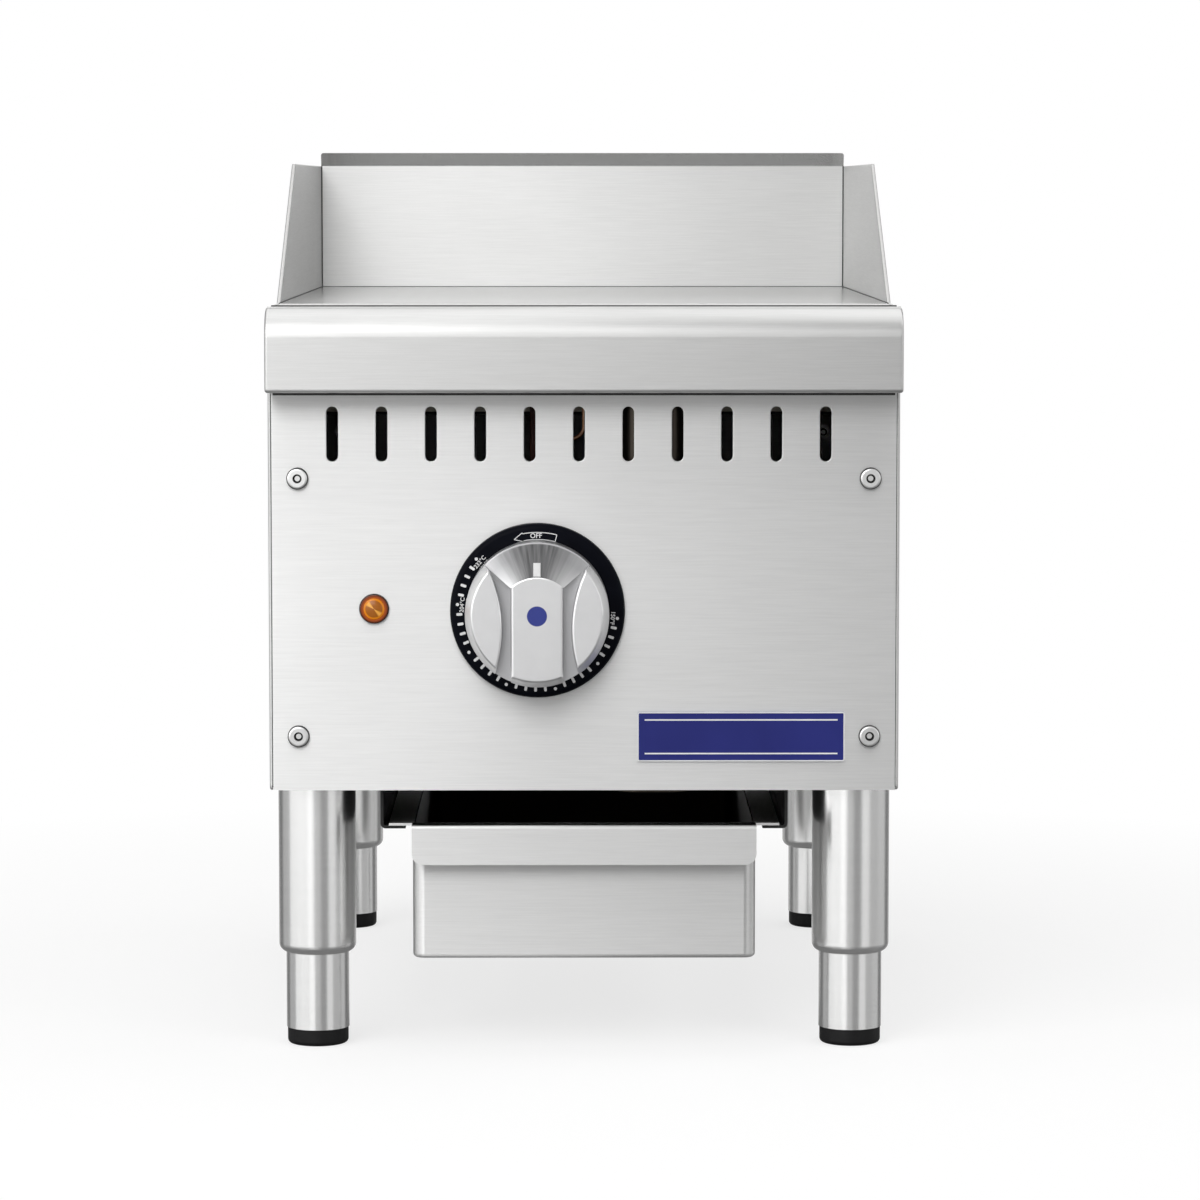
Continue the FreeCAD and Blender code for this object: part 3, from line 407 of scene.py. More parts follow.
# Painted light and shade: the stainless copies below, and the splash and drawer sheets, differ in
# brightness, each base colour set to how light falls on its part; the panel and leg copies are brighter,
# the nose, guard and plate copies darker.
STAINLESS = BrushedMetal(
    "stainless_level", pale=steel(0.9), dark=steel(0.84), roughness=0.5, anisotropy=0.86,
)
STAINLESS_NOSE = BrushedMetal(
    "stainless_nose", pale=steel(0.645), dark=steel(0.59), roughness=0.4, anisotropy=0.65,
)
STAINLESS_GUARD = BrushedMetal(
    "stainless_guard", pale=steel(0.62), dark=steel(0.56), roughness=0.55, anisotropy=0.7,
)
STAINLESS_SIDE = BrushedMetal(
    "stainless_side", pale=steel(0.75), dark=steel(0.69), roughness=0.52, anisotropy=0.82,
)
# Painted shade: the chute is a near-black copy of the steel, dark as if in shade.
CHUTE_PAINTED_SHADE = BrushedMetal(
    "chute_painted_shade", pale=(0.06, 0.05, 0.042), dark=(0.035, 0.03, 0.025), run=GrainRun.UPRIGHT,
)
PLATE_STEEL = BrushedMetal(
    "ground_plate", pale=steel(0.56), dark=steel(0.51), roughness=0.22, unevenness=0.015,
    run=GrainRun.LENGTHWISE, along=25.0, across=900.0, relief_share=0.01,
)
# Painted shade: the rails are a near-black copy of the steel sheet, dark as if in shade.
RAIL_PAINTED_SHADE = BrushedMetal("rail_painted_shade", pale=grey(0.05), dark=grey(0.035), roughness=0.5)
LEG_STEEL = BrushedMetal(
    "leg_tube", pale=steel(0.92), dark=steel(0.89), roughness=0.24, unevenness=0.015,
    run=GrainRun.RINGS, along=30.0, across=900.0, relief_share=0.004, anisotropy=0.3,
)
FOOT_STEEL = replace(LEG_STEEL, name="foot_tube", pale=steel(0.93), dark=steel(0.9), roughness=0.22)
SCREW_STEEL = BrushedMetal(
    "screw_steel", pale=steel(0.84), dark=steel(0.8), roughness=0.16, unevenness=0.02,
    run=GrainRun.TURNED, along=300.0, across=2500.0, relief_share=0.02,
)
ELEMENT_SHEATH = BrushedMetal(
    "element_sheath", pale=(0.3, 0.27, 0.24), dark=(0.16, 0.15, 0.14), roughness=0.5,
    along=120.0, across=500.0,
)
COPPER_TUBE = BrushedMetal(
    "copper_tube", pale=(0.85, 0.5, 0.33), dark=(0.62, 0.33, 0.2), roughness=0.3,
    along=90.0, across=700.0,
)
FOOT_RUBBER = MouldedPlastic(
    "foot_rubber", pale=grey(0.008, 0.0005), dark=grey(0.005, 0.0005), roughness=0.5, specular=0.25,
)
# Painted shade: the bottom pan and tray are near black, standing in for the shade under the body.
PAN_PAINTED_SHADE = MouldedPlastic("pan_painted_shade", pale=grey(0.012), dark=grey(0.008), roughness=0.6, specular=0.15)
BUSH_PLASTIC = MouldedPlastic("bush_plastic", pale=grey(0.05, 0.002), dark=grey(0.03, 0.002))
DIAL_BLACK = MouldedPlastic(
    "dial_black", pale=(0.003, 0.0036, 0.007), dark=(0.0015, 0.0018, 0.004), roughness=0.42,
    unevenness=0.05, scale=1400.0, relief=0.00001, specular=0.05,
)
PRINT_WHITE = MouldedPlastic(
    "dial_print", pale=grey(0.82), dark=grey(0.7), roughness=0.5, scale=2500.0, relief=0.00001,
)
# Dark sealant in the sheet joints, and painted shade: the strips also stand in for the shade in the gaps.
SEAM_SEALANT_AND_SHADE = MouldedPlastic("seam_sealant_and_shade", pale=grey(0.025), dark=grey(0.012), roughness=0.6)
CERAMIC = MouldedPlastic("ceramic_bead", pale=(0.8, 0.78, 0.72), dark=(0.7, 0.68, 0.62), roughness=0.45)
FIBRE = MouldedPlastic(
    "insulation_fibre", pale=(0.75, 0.72, 0.62), dark=(0.55, 0.52, 0.43), roughness=0.9,
    scale=350.0, relief=0.0008,
)
THERMOSTAT_PLASTIC = MouldedPlastic("thermostat_plastic", pale=grey(0.1), dark=grey(0.07))
LEAD_RUBBER = MouldedPlastic(
    "lead_rubber", pale=(0.12, 0.03, 0.02), dark=(0.08, 0.02, 0.014), roughness=0.5,
)
GLAND_PLASTIC = MouldedPlastic(
    "gland_plastic", pale=grey(0.03, 0.001), dark=grey(0.018, 0.001), roughness=0.38,
)
BADGE_BLUE = MouldedPlastic(
    "badge_enamel", pale=(0.018, 0.024, 0.19), dark=(0.015, 0.02, 0.165), roughness=0.4, unevenness=0.03,
    scale=600.0, relief=0.000002, specular=0.25,
)
BADGE_SILVER = MouldedPlastic("badge_silver", pale=grey(0.86, 0.01), dark=grey(0.8, 0.01), relief=0.000004)


@dataclass(frozen=True)
class KnobSilver(MouldedPlastic):
    """Silver plating, greyer in the hollows as painted shade, with a blue dot on the grip bar and a sector
    above it painted with a dark, radially streaked reflection.
    """

    centre: Vector = field(default_factory=Vector)
    dot_radius: float = 0.0048
    dot_edge: float = 0.00012
    dot_blue: Colour = (0.022, 0.036, 0.25)
    sector_start: float = 0.0186
    sector_end: float = 0.0336
    sector_edges: Range = (0.0001, 0.0006)
    sector_turn: Range = (0.22, 0.9)
    rays_per_radian: float = 16.0
    rays_per_metre: float = 40.0
    ray_contrast: Range = (0.35, 0.65)
    reflection_streak_dark: Colour = grey(0.1, 0.002)
    reflection_streak_pale: Colour = grey(0.2, 0.003)
    hollow: Range = (0.0012, 0.0075)
    hollow_painted_shade: Colour = grey(0.52, 0.01)

    def sector(self, graph: Graph, turn: Socket, radius: Socket) -> Socket:
        """Mask the sloping sector above the grip bar, where a dark reflection is painted.

        Args:
            graph: the material's graph.
            turn: the angle from the top, in radians.
            radius: the distance from the knob's axis.

        Returns:
            A socket that is 1 in the middle of the sector and 0 outside it.
        """
        inner, outer = self.sector_edges
        fade = graph.spread(graph.math("ABSOLUTE", turn), self.sector_turn, FALLING)
        outside = graph.spread(radius, (self.sector_start - inner, self.sector_start), RISING)
        inside = graph.spread(radius, (self.sector_end, self.sector_end + outer), FALLING)
        return graph.math("MULTIPLY", fade, graph.math("MULTIPLY", outside, inside))

    def streaks(self, graph: Graph, turn: Socket, radius: Socket) -> Socket:
        """Paint the sector's dark reflection in radial streaks.

        Args:
            graph: the material's graph.
            turn: the angle from the top, in radians.
            radius: the distance from the knob's axis.

        Returns:
            The streaks' colour.
        """
        rays = graph.add("ShaderNodeCombineXYZ", {
            "X": graph.math("MULTIPLY", turn, self.rays_per_radian),
            "Y": graph.math("MULTIPLY", radius, self.rays_per_metre),
        })
        pattern = graph.noise(rays.outputs[0], detail=2.0, roughness=0.5)
        streak = graph.spread(pattern, self.ray_contrast, RISING)
        return graph.blend(streak, self.reflection_streak_dark, self.reflection_streak_pale)

    def paint(self, surface: Surface) -> None:
        """Grey the plating with depth as painted shade, then add the sector's painted reflection and the
        dot.

        Args:
            surface: the material's graph.
        """
        super().paint(surface)
        offset = surface.vector("SUBTRACT", surface.place, self.centre)
        # Painted shade: the plating greys with depth into the hollows.
        recess_shade = surface.spread(surface.axis(offset, "Y"), self.hollow, RISING)
        plating = surface.blend(recess_shade, surface.fed_by("Base Color"), self.hollow_painted_shade)
        turn = surface.math("ARCTAN2", surface.axis(offset, "X"), surface.axis(offset, "Z"))
        radius = surface.radius(offset)
        # Painted reflection: the sector is darkened with radial streaks.
        brushed = self.streaks(surface, turn, radius)
        silver = surface.blend(self.sector(surface, turn, radius), plating, brushed)
        rim = (self.dot_radius - self.dot_edge, self.dot_radius + self.dot_edge)
        dot = surface.spread(radius, rim, FALLING)
        surface.put("Base Color", surface.blend(dot, silver, self.dot_blue))
        surface.put("Metallic", surface.spread(dot, RISING, FALLING))


@dataclass(frozen=True)
class LampAmber(MouldedPlastic):
    """Amber lens: a bright rim round a disc with two painted highlight streaks."""

    centre: Vector = field(default_factory=Vector)
    disc_radius: float = 0.0043
    disc_edge: float = 0.0003
    highlight_turn: float = 0.72
    highlight_band: Range = (0.93, 0.995)
    highlight_amber: Colour = (0.95, 0.46, 0.08)
    rim_amber: Colour = (0.8, 0.25, 0.008)

    def paint(self, surface: Surface) -> None:
        """Let the amber's depth follow the lens's rim, with two highlights painted on the disc.

        Args:
            surface: the material's graph.
        """
        super().paint(surface)
        offset = surface.vector("SUBTRACT", surface.place, self.centre)
        turn = surface.math("ARCTAN2", surface.axis(offset, "Z"), surface.axis(offset, "X"))
        # Painted highlight: two pale streaks across the disc.
        wave = surface.math("COSINE", surface.math("ADD", turn, self.highlight_turn))
        streak = surface.spread(surface.math("ABSOLUTE", wave), self.highlight_band, RISING)
        edge = (self.disc_radius - self.disc_edge, self.disc_radius)
        rim = surface.spread(surface.radius(offset), edge, RISING)
        disc = surface.blend(streak, surface.fed_by("Base Color"), self.highlight_amber)
        surface.put("Base Color", surface.blend(rim, disc, self.rim_amber))


@dataclass(frozen=True)
class LampRim(MouldedPlastic):
    """Amber bezel of the lamp, brighter beside the lens as a painted glow and dark at its edge."""

    centre: Vector = field(default_factory=Vector)
    # Painted glow: the bezel's colour beside the lens.
    glow: Colour = (0.5, 0.09, 0.004)
    painted_glow_band: Range = (0.0052, 0.0069)

    def paint(self, surface: Surface) -> None:
        """Darken the amber outwards from the painted glow beside the lens.

        Args:
            surface: the material's graph.
        """
        super().paint(surface)
        offset = surface.vector("SUBTRACT", surface.place, self.centre)
        outwards = surface.spread(surface.radius(offset), self.painted_glow_band, RISING)
        surface.put("Base Color", surface.blend(outwards, self.glow, surface.fed_by("Base Color")))


@dataclass(frozen=True)
class ScrewSteel(BrushedMetal):
    """Bright screw heads with painted shade in the socket and under the rim, at the four corners of a
    rectangle.
    """

    middle: Vector = field(default_factory=Vector)
    spread_x: float = 0.0
    spread_z: float = 0.0
    socket: float = 0.00175
    socket_band: Range = (0.00035, 0.00055)
    rim: Range = (0.0046, 0.005)
    # Painted shade in the socket and under the rim.
    black: Colour = grey(0.02)

    def paint(self, surface: Surface) -> None:
        """Paint shade as two black rings round the nearest screw's axis.

        Args:
            surface: the material's graph.
        """
        super().paint(surface)
        offset = surface.vector("SUBTRACT", surface.place, self.middle)
        folded = surface.vector("ABSOLUTE", offset)
        local = surface.vector("SUBTRACT", folded, (self.spread_x, 0.0, self.spread_z))
        radius = surface.radius(local)
        away = surface.math("ABSOLUTE", surface.math("SUBTRACT", radius, self.socket))
        ring = surface.spread(away, self.socket_band, FALLING)
        edge = surface.spread(radius, self.rim, RISING)
        painted_shade_rings = surface.math("MAXIMUM", ring, edge)
        surface.put("Base Color", surface.blend(painted_shade_rings, surface.fed_by("Base Color"), self.black))


@dataclass(frozen=True)
class SplashSteel(BrushedMetal):
    """Brushed sheet whose rolled lip is polished, and darkened as painted shade."""

    lip_height: float = 0.0
    lip_edge: float = 0.0004
    lip_share: float = 0.3
    lip_painted_shade: float = 0.6

    def paint(self, surface: Surface) -> None:
        """Make the metal smoother above the fold, and darker there as painted shade.

        Args:
            surface: the material's graph.
        """
        super().paint(surface)
        height = surface.axis(surface.place, "Z")
        fold = (self.lip_height - self.lip_edge, self.lip_height + self.lip_edge)
        share = surface.spread(height, fold, (1.0, self.lip_share))
        surface.put("Roughness", surface.math("MULTIPLY", surface.fed_by("Roughness"), share))
        # Painted shade: the lip above the fold is darkened.
        tone = surface.spread(height, fold, (1.0, self.lip_painted_shade))
        surface.put("Base Color", surface.vector("MULTIPLY", surface.fed_by("Base Color"), tone))


@dataclass(frozen=True)
class DrawerSteel(BrushedMetal):
    """Drawer sheet, bright outside, with painted shade inside, where it is darker and rougher."""

    middle: Vector = field(default_factory=Vector)
    reach: Vector = field(default_factory=Vector)
    corner: float = 0.0
    floor: float = 0.0
    brim: Vector = field(default_factory=Vector)
    inside_painted_shade: Colour = (0.05, 0.046, 0.042)
    dull_roughness: float = 0.65
    fold_share: float = 0.2

    def inside(self, surface: Surface) -> Socket:
        """Mask the drawer's inside: within the middle of its wall and above its floor.

        Args:
            surface: the material's graph.

        Returns:
            A socket that is 1 inside the drawer.
        """
        offset = surface.vector("SUBTRACT", surface.place, self.middle)
        folded = surface.vector("ABSOLUTE", surface.vector("MULTIPLY", offset, (1.0, 1.0, 0.0)))
        straight = Vector((self.reach.x - self.corner, self.reach.y - self.corner, 0.0))
        beyond = surface.vector("MAXIMUM", surface.vector("SUBTRACT", folded, straight))
        within = surface.math("LESS_THAN", surface.length(beyond), self.corner)
        above = surface.math("GREATER_THAN", surface.axis(surface.place, "Z"), self.floor)
        return surface.math("MULTIPLY", within, above)

    def fold(self, surface: Surface) -> Socket:
        """Mask the flat on top of the pull, behind its front bend.

        Args:
            surface: the material's graph.

        Returns:
            A socket that is 1 on the flat.
        """
        behind = surface.math("GREATER_THAN", surface.axis(surface.place, "Y"), self.brim.y)
        above = surface.math("GREATER_THAN", surface.axis(surface.place, "Z"), self.brim.z)
        return surface.math("MULTIPLY", behind, above)

    def paint(self, surface: Surface) -> None:
        """Darken the inside as painted shade, roughen it, and polish the fold.

        Args:
            surface: the material's graph.
        """
        super().paint(surface)
        inside = self.inside(surface)
        # Painted shade: the drawer's inside is darkened.
        surface.put("Base Color", surface.blend(inside, surface.fed_by("Base Color"), self.inside_painted_shade))
        least = surface.math("MULTIPLY", inside, self.dull_roughness)
        dulled = surface.math("MAXIMUM", surface.fed_by("Roughness"), least)
        polish = surface.spread(self.fold(surface), RISING, (1.0, self.fold_share))
        surface.put("Roughness", surface.math("MULTIPLY", dulled, polish))


class Shop:
    """Turns bmesh work into dressed pieces that ride on a body."""

    @staticmethod
    def solid(name: str, shape: Shape, material: bpy.types.Material) -> bpy.types.Object:
        """Make an object from a bmesh.

        Args:
            name: the object's name.
            shape: its mesh, in place; freed here.
            material: its material.

        Returns:
            The new object.
        """
        mesh = bpy.data.meshes.new(name)
        shape.to_mesh(mesh)
        shape.free()
        mesh.materials.append(material)
        made = bpy.data.objects.new(name, mesh)
        bpy.context.scene.collection.objects.link(made)
        return made

    @staticmethod
    def piece(name: str, shape: Shape, finish: Finish, body: str, slot: str | None = None) -> None:
        """Make a piece from a bmesh and put it on a body.

        Args:
            name: the piece's name.
            shape: its mesh, in place; freed here.
            finish: its finish.
            body: the CAD body it rides on.
            slot: the record's material slot; not used.
        """
        bmesh.ops.remove_doubles(shape, verts=shape.verts, dist=WELD)
        bmesh.ops.recalc_face_normals(shape, faces=shape.faces)
        made = Shop.solid(name, shape, finish.material())
        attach(made, body)
        LOG.info("piece %s rides %s, %d faces", name, body, len(made.data.polygons))

    @staticmethod
    def dress(finish: Finish, *nodes: str) -> None:
        """Give CAD nodes a finish.

        Args:
            finish: the finish.
            nodes: names of the nodes.
        """
        for name in nodes:
            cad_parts[name].material_slots[0].material = finish.material()
            LOG.info("node %s in %s", name, finish.name)

    @staticmethod
    def box(shape: Shape, low: Sequence[float], high: Sequence[float]) -> list[bmesh.types.BMVert]:
        """Add a box between two corners.

        Args:
            shape: the bmesh that it goes into.
            low: its lowest corner.
            high: its highest corner.

        Returns:
            The box's vertices.
        """
        start, end = Vector(low), Vector(high)
        middle = (start + end) / 2
        place = Matrix.Translation(middle) @ Matrix.Diagonal((*(end - start), 1.0))
        return bmesh.ops.create_cube(shape, size=1.0, matrix=place)["verts"]

    @staticmethod
    def bevel(shape: Shape, geom: Sequence, offset: float, segments: int, affect: str = "EDGES") -> None:
        """Round edges or corners.

        Args:
            shape: the bmesh that they are in.
            geom: the edges or vertices.
            offset: how far the rounding reaches.
            segments: its number of steps.
            affect: EDGES or VERTICES.
        """
        bmesh.ops.bevel(
            shape, geom=list(geom), offset=offset, offset_type="OFFSET", segments=segments, profile=0.5,
            affect=affect, material=-1,
        )

    @staticmethod
    def raise_faces(shape: Shape, faces: Sequence[bmesh.types.BMFace], height: float) -> None:
        """Raise faces towards the front.

        Args:
            shape: the bmesh that they are in.
            faces: the faces.
            height: how far they rise.
        """
        raised = bmesh.ops.extrude_face_region(shape, geom=list(faces))["geom"]
        moved = [item for item in raised if isinstance(item, bmesh.types.BMVert)]
        bmesh.ops.translate(shape, verts=moved, vec=(0, -height, 0))


@dataclass
class CookTop:
    """Plate, guards, splash, trough and chute, with the dark seams between the sheets: sealant, and painted
    shade in the joints.
    """

    seam: float = 0.0006
    seam_start: float = 0.003
    nose_end: float = 0.002

    def dress(self) -> None:
        """Put the finishes on the CAD nodes."""
        # Painted light and shade: the splash copy's base colour is set to how light falls on it.
        splash = SplashSteel(
            "stainless_splash", pale=steel(0.79), dark=steel(0.73), roughness=0.5, anisotropy=0.84,
            lip_height=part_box("left_guard")[1].z,
        )
        Shop.dress(PLATE_STEEL, "griddle_plate")
        Shop.dress(STAINLESS, "grease_trough")
        Shop.dress(STAINLESS_GUARD, "left_guard", "right_guard")
        Shop.dress(splash, "rear_splash")
        Shop.dress(CHUTE_PAINTED_SHADE, "grease_chute")

    def build_seams(self) -> None:
        """Lay the dark seams, sealant and painted shade, along the plate's edges, up the splash's corners
        and behind the nose.
        """
        plate_low, plate_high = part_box("griddle_plate")
        top = plate_high.z
        rear = plate_high.y
        splash_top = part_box("left_guard")[1].z
        shape = bmesh.new()
        width = self.seam
        for side in (-1, 1):
            edge = plate_high.x * side
            inner = edge - side * width
            left, right = min(edge, inner), max(edge, inner)
            Shop.box(shape, (left, plate_low.y + self.seam_start, top), (right, rear, top + width / 2))
            Shop.box(shape, (left, rear - width, top), (right, rear, splash_top))
        Shop.box(shape, (plate_low.x, rear - width / 2, top), (plate_high.x, rear, top + width / 2))
        nose_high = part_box("front_nose")[1]
        edge = nose_high.x - self.nose_end
        start = (-edge, nose_high.y - 2 * width, nose_high.z - width / 2)
        Shop.box(shape, start, (edge, nose_high.y, nose_high.z + width))
        Shop.piece("plate_seams", shape, SEAM_SEALANT_AND_SHADE, "griddle")


@dataclass
class Casing:
    """Front nose, panels, their screws and the cord gland, with the dark joints between the sheets:
    sealant, and painted shade.
    """

    screw_radius: float = 0.0053
    joint_width: float = 0.0005
    joint_depth: float = 0.00005
    joint_fill: float = 0.0006
    joint_foot: float = 0.0015
    joint_edge: float = 0.00008
    nose_joint: float = 0.002
    nose_end: float = 0.001
    nose_proud: float = 0.0002
    nose_fill: float = 0.0004

    def dress(self) -> None:
        """Put the finishes on the CAD nodes."""
        Shop.dress(STAINLESS_NOSE, "front_nose")
        Shop.dress(STAINLESS, "front_panel", "rear_panel")
        Shop.dress(STAINLESS_SIDE, "left_side_panel", "right_side_panel")
        Shop.dress(PAN_PAINTED_SHADE, "bottom_pan", "insulation_tray")
        low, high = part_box("front_panel_screws")
        heads = ScrewSteel(
            "screw_heads", pale=steel(0.83), dark=steel(0.77), roughness=0.34, unevenness=0.03,
            run=GrainRun.TURNED, along=300.0, across=2500.0, relief_share=0.02,
            middle=((low + high) / 2).freeze(), spread_x=high.x - self.screw_radius,
            spread_z=(high.z - low.z) / 2 - self.screw_radius,
        )
        Shop.dress(heads, "front_panel_screws", "rear_panel_screws")
        Shop.dress(SCREW_STEEL, "panel_nuts", "rail_screws")
        Shop.dress(GLAND_PLASTIC, "cord_gland", "gland_nut")

    def build_joints(self) -> None:
        """Fill the joints beside the front panel and under the nose with dark strips, sealant and painted
        shade, the one under the nose standing in for its shadow.
        """
        low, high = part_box("front_panel")
        nose_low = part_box("front_nose")[0].z
        front = low.y + self.joint_depth
        half = self.joint_width / 2
        shape = bmesh.new()
        for x in (low.x, high.x):
            start = (x - half, front, low.z + self.joint_foot)
            Shop.box(shape, start, (x + half, front + self.joint_fill, nose_low))
        start = (low.x + self.nose_end, low.y - self.nose_proud, nose_low - self.nose_joint)
        end = (high.x - self.nose_end, low.y + self.nose_fill, nose_low + self.nose_proud)
        Shop.box(shape, start, end)
        Shop.bevel(shape, shape.edges, self.joint_edge, segments=1)
        Shop.piece("panel_joints", shape, SEAM_SEALANT_AND_SHADE, "griddle")


@dataclass
class Dial:
    """Black bezel with its printed scale, numbers and off mark; turns are degrees from the top."""

    print_height: float = 0.00012
    print_weight: float = 0.00004
    curve_steps: int = 3
    tick_radius: float = 0.0377
    tick_length: float = 0.0029
    tick_width: float = 0.0013
    tick_round_share: float = 0.35
    dot_radius: float = 0.0387
    dot_size: float = 0.0008
    dot_sides: int = 16
    first_turn: float = 95.4
    last_turn: float = 310.5
    steps: int = 30
    dot_every: int = 5
    celsius: tuple[int, ...] = (65, 93, 121, 149, 177, 204, 232)
    fahrenheit: tuple[int, ...] = (150, 200, 250, 300, 350, 400, 450)
    number_size: float = 0.0028
    outer_radius: float = 0.0364
    inner_radius: float = 0.0335
    tucked: float = 0.0018
    tucked_turns: Range = (100.0, 270.0)
    swap_turn: float = 180.0
    mark_width: float = 0.00036
    mark_low: float = 0.0346
    mark_high: float = 0.038
    mark_neck: float = -11.0
    mark_tail: float = 14.3
    mark_tip: float = -18.0
    mark_barb: float = 0.0005
    mark_steps: int = 12
    word_size: float = 0.0033
    word_turn: float = -1.0
    word_radius: float = 0.0363

    def __post_init__(self) -> None:
        """Take the middle of the bezel's face from the CAD."""
        self.centre = front_centre(*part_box("dial_bezel"))

    def frame_at(self, turn: float, radius: float) -> Matrix:
        """Find a place on the bezel's face.

        Args:
            turn: degrees clockwise from the top.
            radius: metres from the centre.

        Returns:
            A matrix whose X runs clockwise, Y outwards and Z towards the viewer.
        """
        angle = math.radians(turn)
        clockwise = Vector((math.cos(angle), 0.0, -math.sin(angle)))
        outwards = Vector((math.sin(angle), 0.0, math.cos(angle)))
        turned = Matrix((clockwise, outwards, Vector((0.0, -1.0, 0.0)))).transposed().to_4x4()
        return Matrix.Translation(self.centre + outwards * radius) @ turned

    def point(self, turn: float, radius: float) -> Vector:
        """Give a point on the bezel's face."""
        return self.frame_at(turn, radius).translation

    def printed_at(self, turn: float, radius: float) -> Matrix:
        """Find the place of something printed, in the middle of the print's height."""
        return self.frame_at(turn, radius) @ Matrix.Translation((0, 0, self.print_height / 2))

    def turns(self) -> list[float]:
        """Give the turn of each step of the scale."""
        step = (self.last_turn - self.first_turn) / self.steps
        return [self.first_turn + step * index for index in range(self.steps + 1)]

    def dress(self) -> None:
        """Put the finish on the bezel."""
        Shop.dress(DIAL_BLACK, "dial_bezel")

    def build_scale(self) -> None:
        """Print the ticks and dots."""
        ticks = bmesh.new()
        dots = bmesh.new()
        size = Matrix.Diagonal((self.tick_width, self.tick_length, self.print_height, 1.0))
        for index, turn in enumerate(self.turns()):
            if index % self.dot_every == 0:
                bmesh.ops.create_cone(
                    dots, cap_ends=True, segments=self.dot_sides, radius1=self.dot_size,
                    radius2=self.dot_size, depth=self.print_height,
                    matrix=self.printed_at(turn, self.dot_radius),
                )
            else:
                place = self.printed_at(turn, self.tick_radius) @ size
                bmesh.ops.create_cube(ticks, size=1.0, matrix=place)
        upright = [
            edge for edge in ticks.edges
            if abs(edge.verts[0].co.y - edge.verts[1].co.y) > self.print_height / 2
        ]
        Shop.bevel(ticks, upright, self.tick_width * self.tick_round_share, segments=3)
        Shop.piece("dial_ticks", ticks, PRINT_WHITE, "griddle", "dial_black")
        Shop.piece("dial_dots", dots, PRINT_WHITE, "griddle", "dial_black")

    def lettering(self, shape: Shape, words: str, size: float, place: Matrix) -> None:
        """Add one line of print.

        Args:
            shape: the bmesh that it goes into.
            words: the characters.
            size: the height of the type in metres.
            place: where its middle goes.
        """
        text = bpy.data.curves.new("print", "FONT")
        text.body = words
        text.size = size
        text.align_x = "CENTER"
        text.align_y = "CENTER"
        text.resolution_u = self.curve_steps
        text.offset = self.print_weight
        text.extrude = self.print_height / 2
        holder = bpy.data.objects.new("print", text)
        mesh = bpy.data.meshes.new_from_object(holder)
        mesh.transform(place)
        shape.from_mesh(mesh)
        bpy.data.objects.remove(holder)
        bpy.data.curves.remove(text)
        bpy.data.meshes.remove(mesh)

    def build_numbers(self) -> None:
        """Print both rings of temperatures, swapped past the bottom, the lower ones tucked further in."""
        shape = bmesh.new()
        first_tucked, last_tucked = self.tucked_turns
        marked = self.turns()[:: self.dot_every]
        for turn, warm, hot in zip(marked, self.celsius, self.fahrenheit):
            words = (f"{hot}°F", f"{warm}°C") if turn < self.swap_turn else (f"{warm}°C", f"{hot}°F")
            inwards = self.tucked if first_tucked < turn < last_tucked else 0.0
            for word, radius in zip(words, (self.outer_radius, self.inner_radius)):
                self.lettering(shape, word, self.number_size, self.printed_at(turn, radius - inwards))
        Shop.piece("dial_numbers", shape, PRINT_WHITE, "griddle", "dial_black")

    def stroke(self, shape: Shape, first: Vector, second: Vector) -> None:
        """Add a straight line of the off mark.

        Args:
            shape: the bmesh that it goes into.
            first: one end on the bezel's face.
            second: the other end.
        """
        along = second - first
        side = along.normalized().cross(Vector((0, -1, 0))) * self.mark_width / 2
        corners = [first - side, first + side, second + side, second - side]
        face = shape.faces.new([shape.verts.new(corner) for corner in corners])
        Shop.raise_faces(shape, [face], self.print_height)

    def arc(self, shape: Shape, radius: float, start: float, end: float) -> None:
        """Add a line of the off mark that follows the bezel.

        Args:
            shape: the bmesh that it goes into.
            radius: its radius.
            start: the turn that it starts at.
            end: the turn that it ends at.
        """
        half = self.mark_width / 2
        ends = [shape.verts.new(self.point(start, edge)) for edge in (radius - half, radius + half)]
        edge = shape.edges.new(ends)
        before = set(shape.faces)
        bmesh.ops.spin(
            shape, geom=ends + [edge], cent=self.centre, axis=(0, 1, 0), dvec=ORIGIN,
            angle=math.radians(end - start), steps=self.mark_steps, use_merge=False, use_duplicate=False,
        )
        made = [face for face in shape.faces if face not in before]
        Shop.raise_faces(shape, made, self.print_height)

    def build_off_mark(self) -> None:
        """Print the outlined arrow and its word at the top."""
        low, high = self.mark_low, self.mark_high
        neck, tail = self.mark_neck, self.mark_tail
        barbs = ((high, high + self.mark_barb), (low, low - self.mark_barb))
        tip = self.point(self.mark_tip, (low + high) / 2)
        shape = bmesh.new()
        for radius, barb in barbs:
            self.arc(shape, radius, neck, tail)
            self.stroke(shape, tip, self.point(neck, barb))
            self.stroke(shape, self.point(neck, radius), self.point(neck, barb))
        self.stroke(shape, self.point(tail, low), self.point(tail, high))
        self.lettering(shape, "OFF", self.word_size, self.printed_at(self.word_turn, self.word_radius))
        Shop.piece("dial_off_mark", shape, PRINT_WHITE, "griddle", "dial_black")


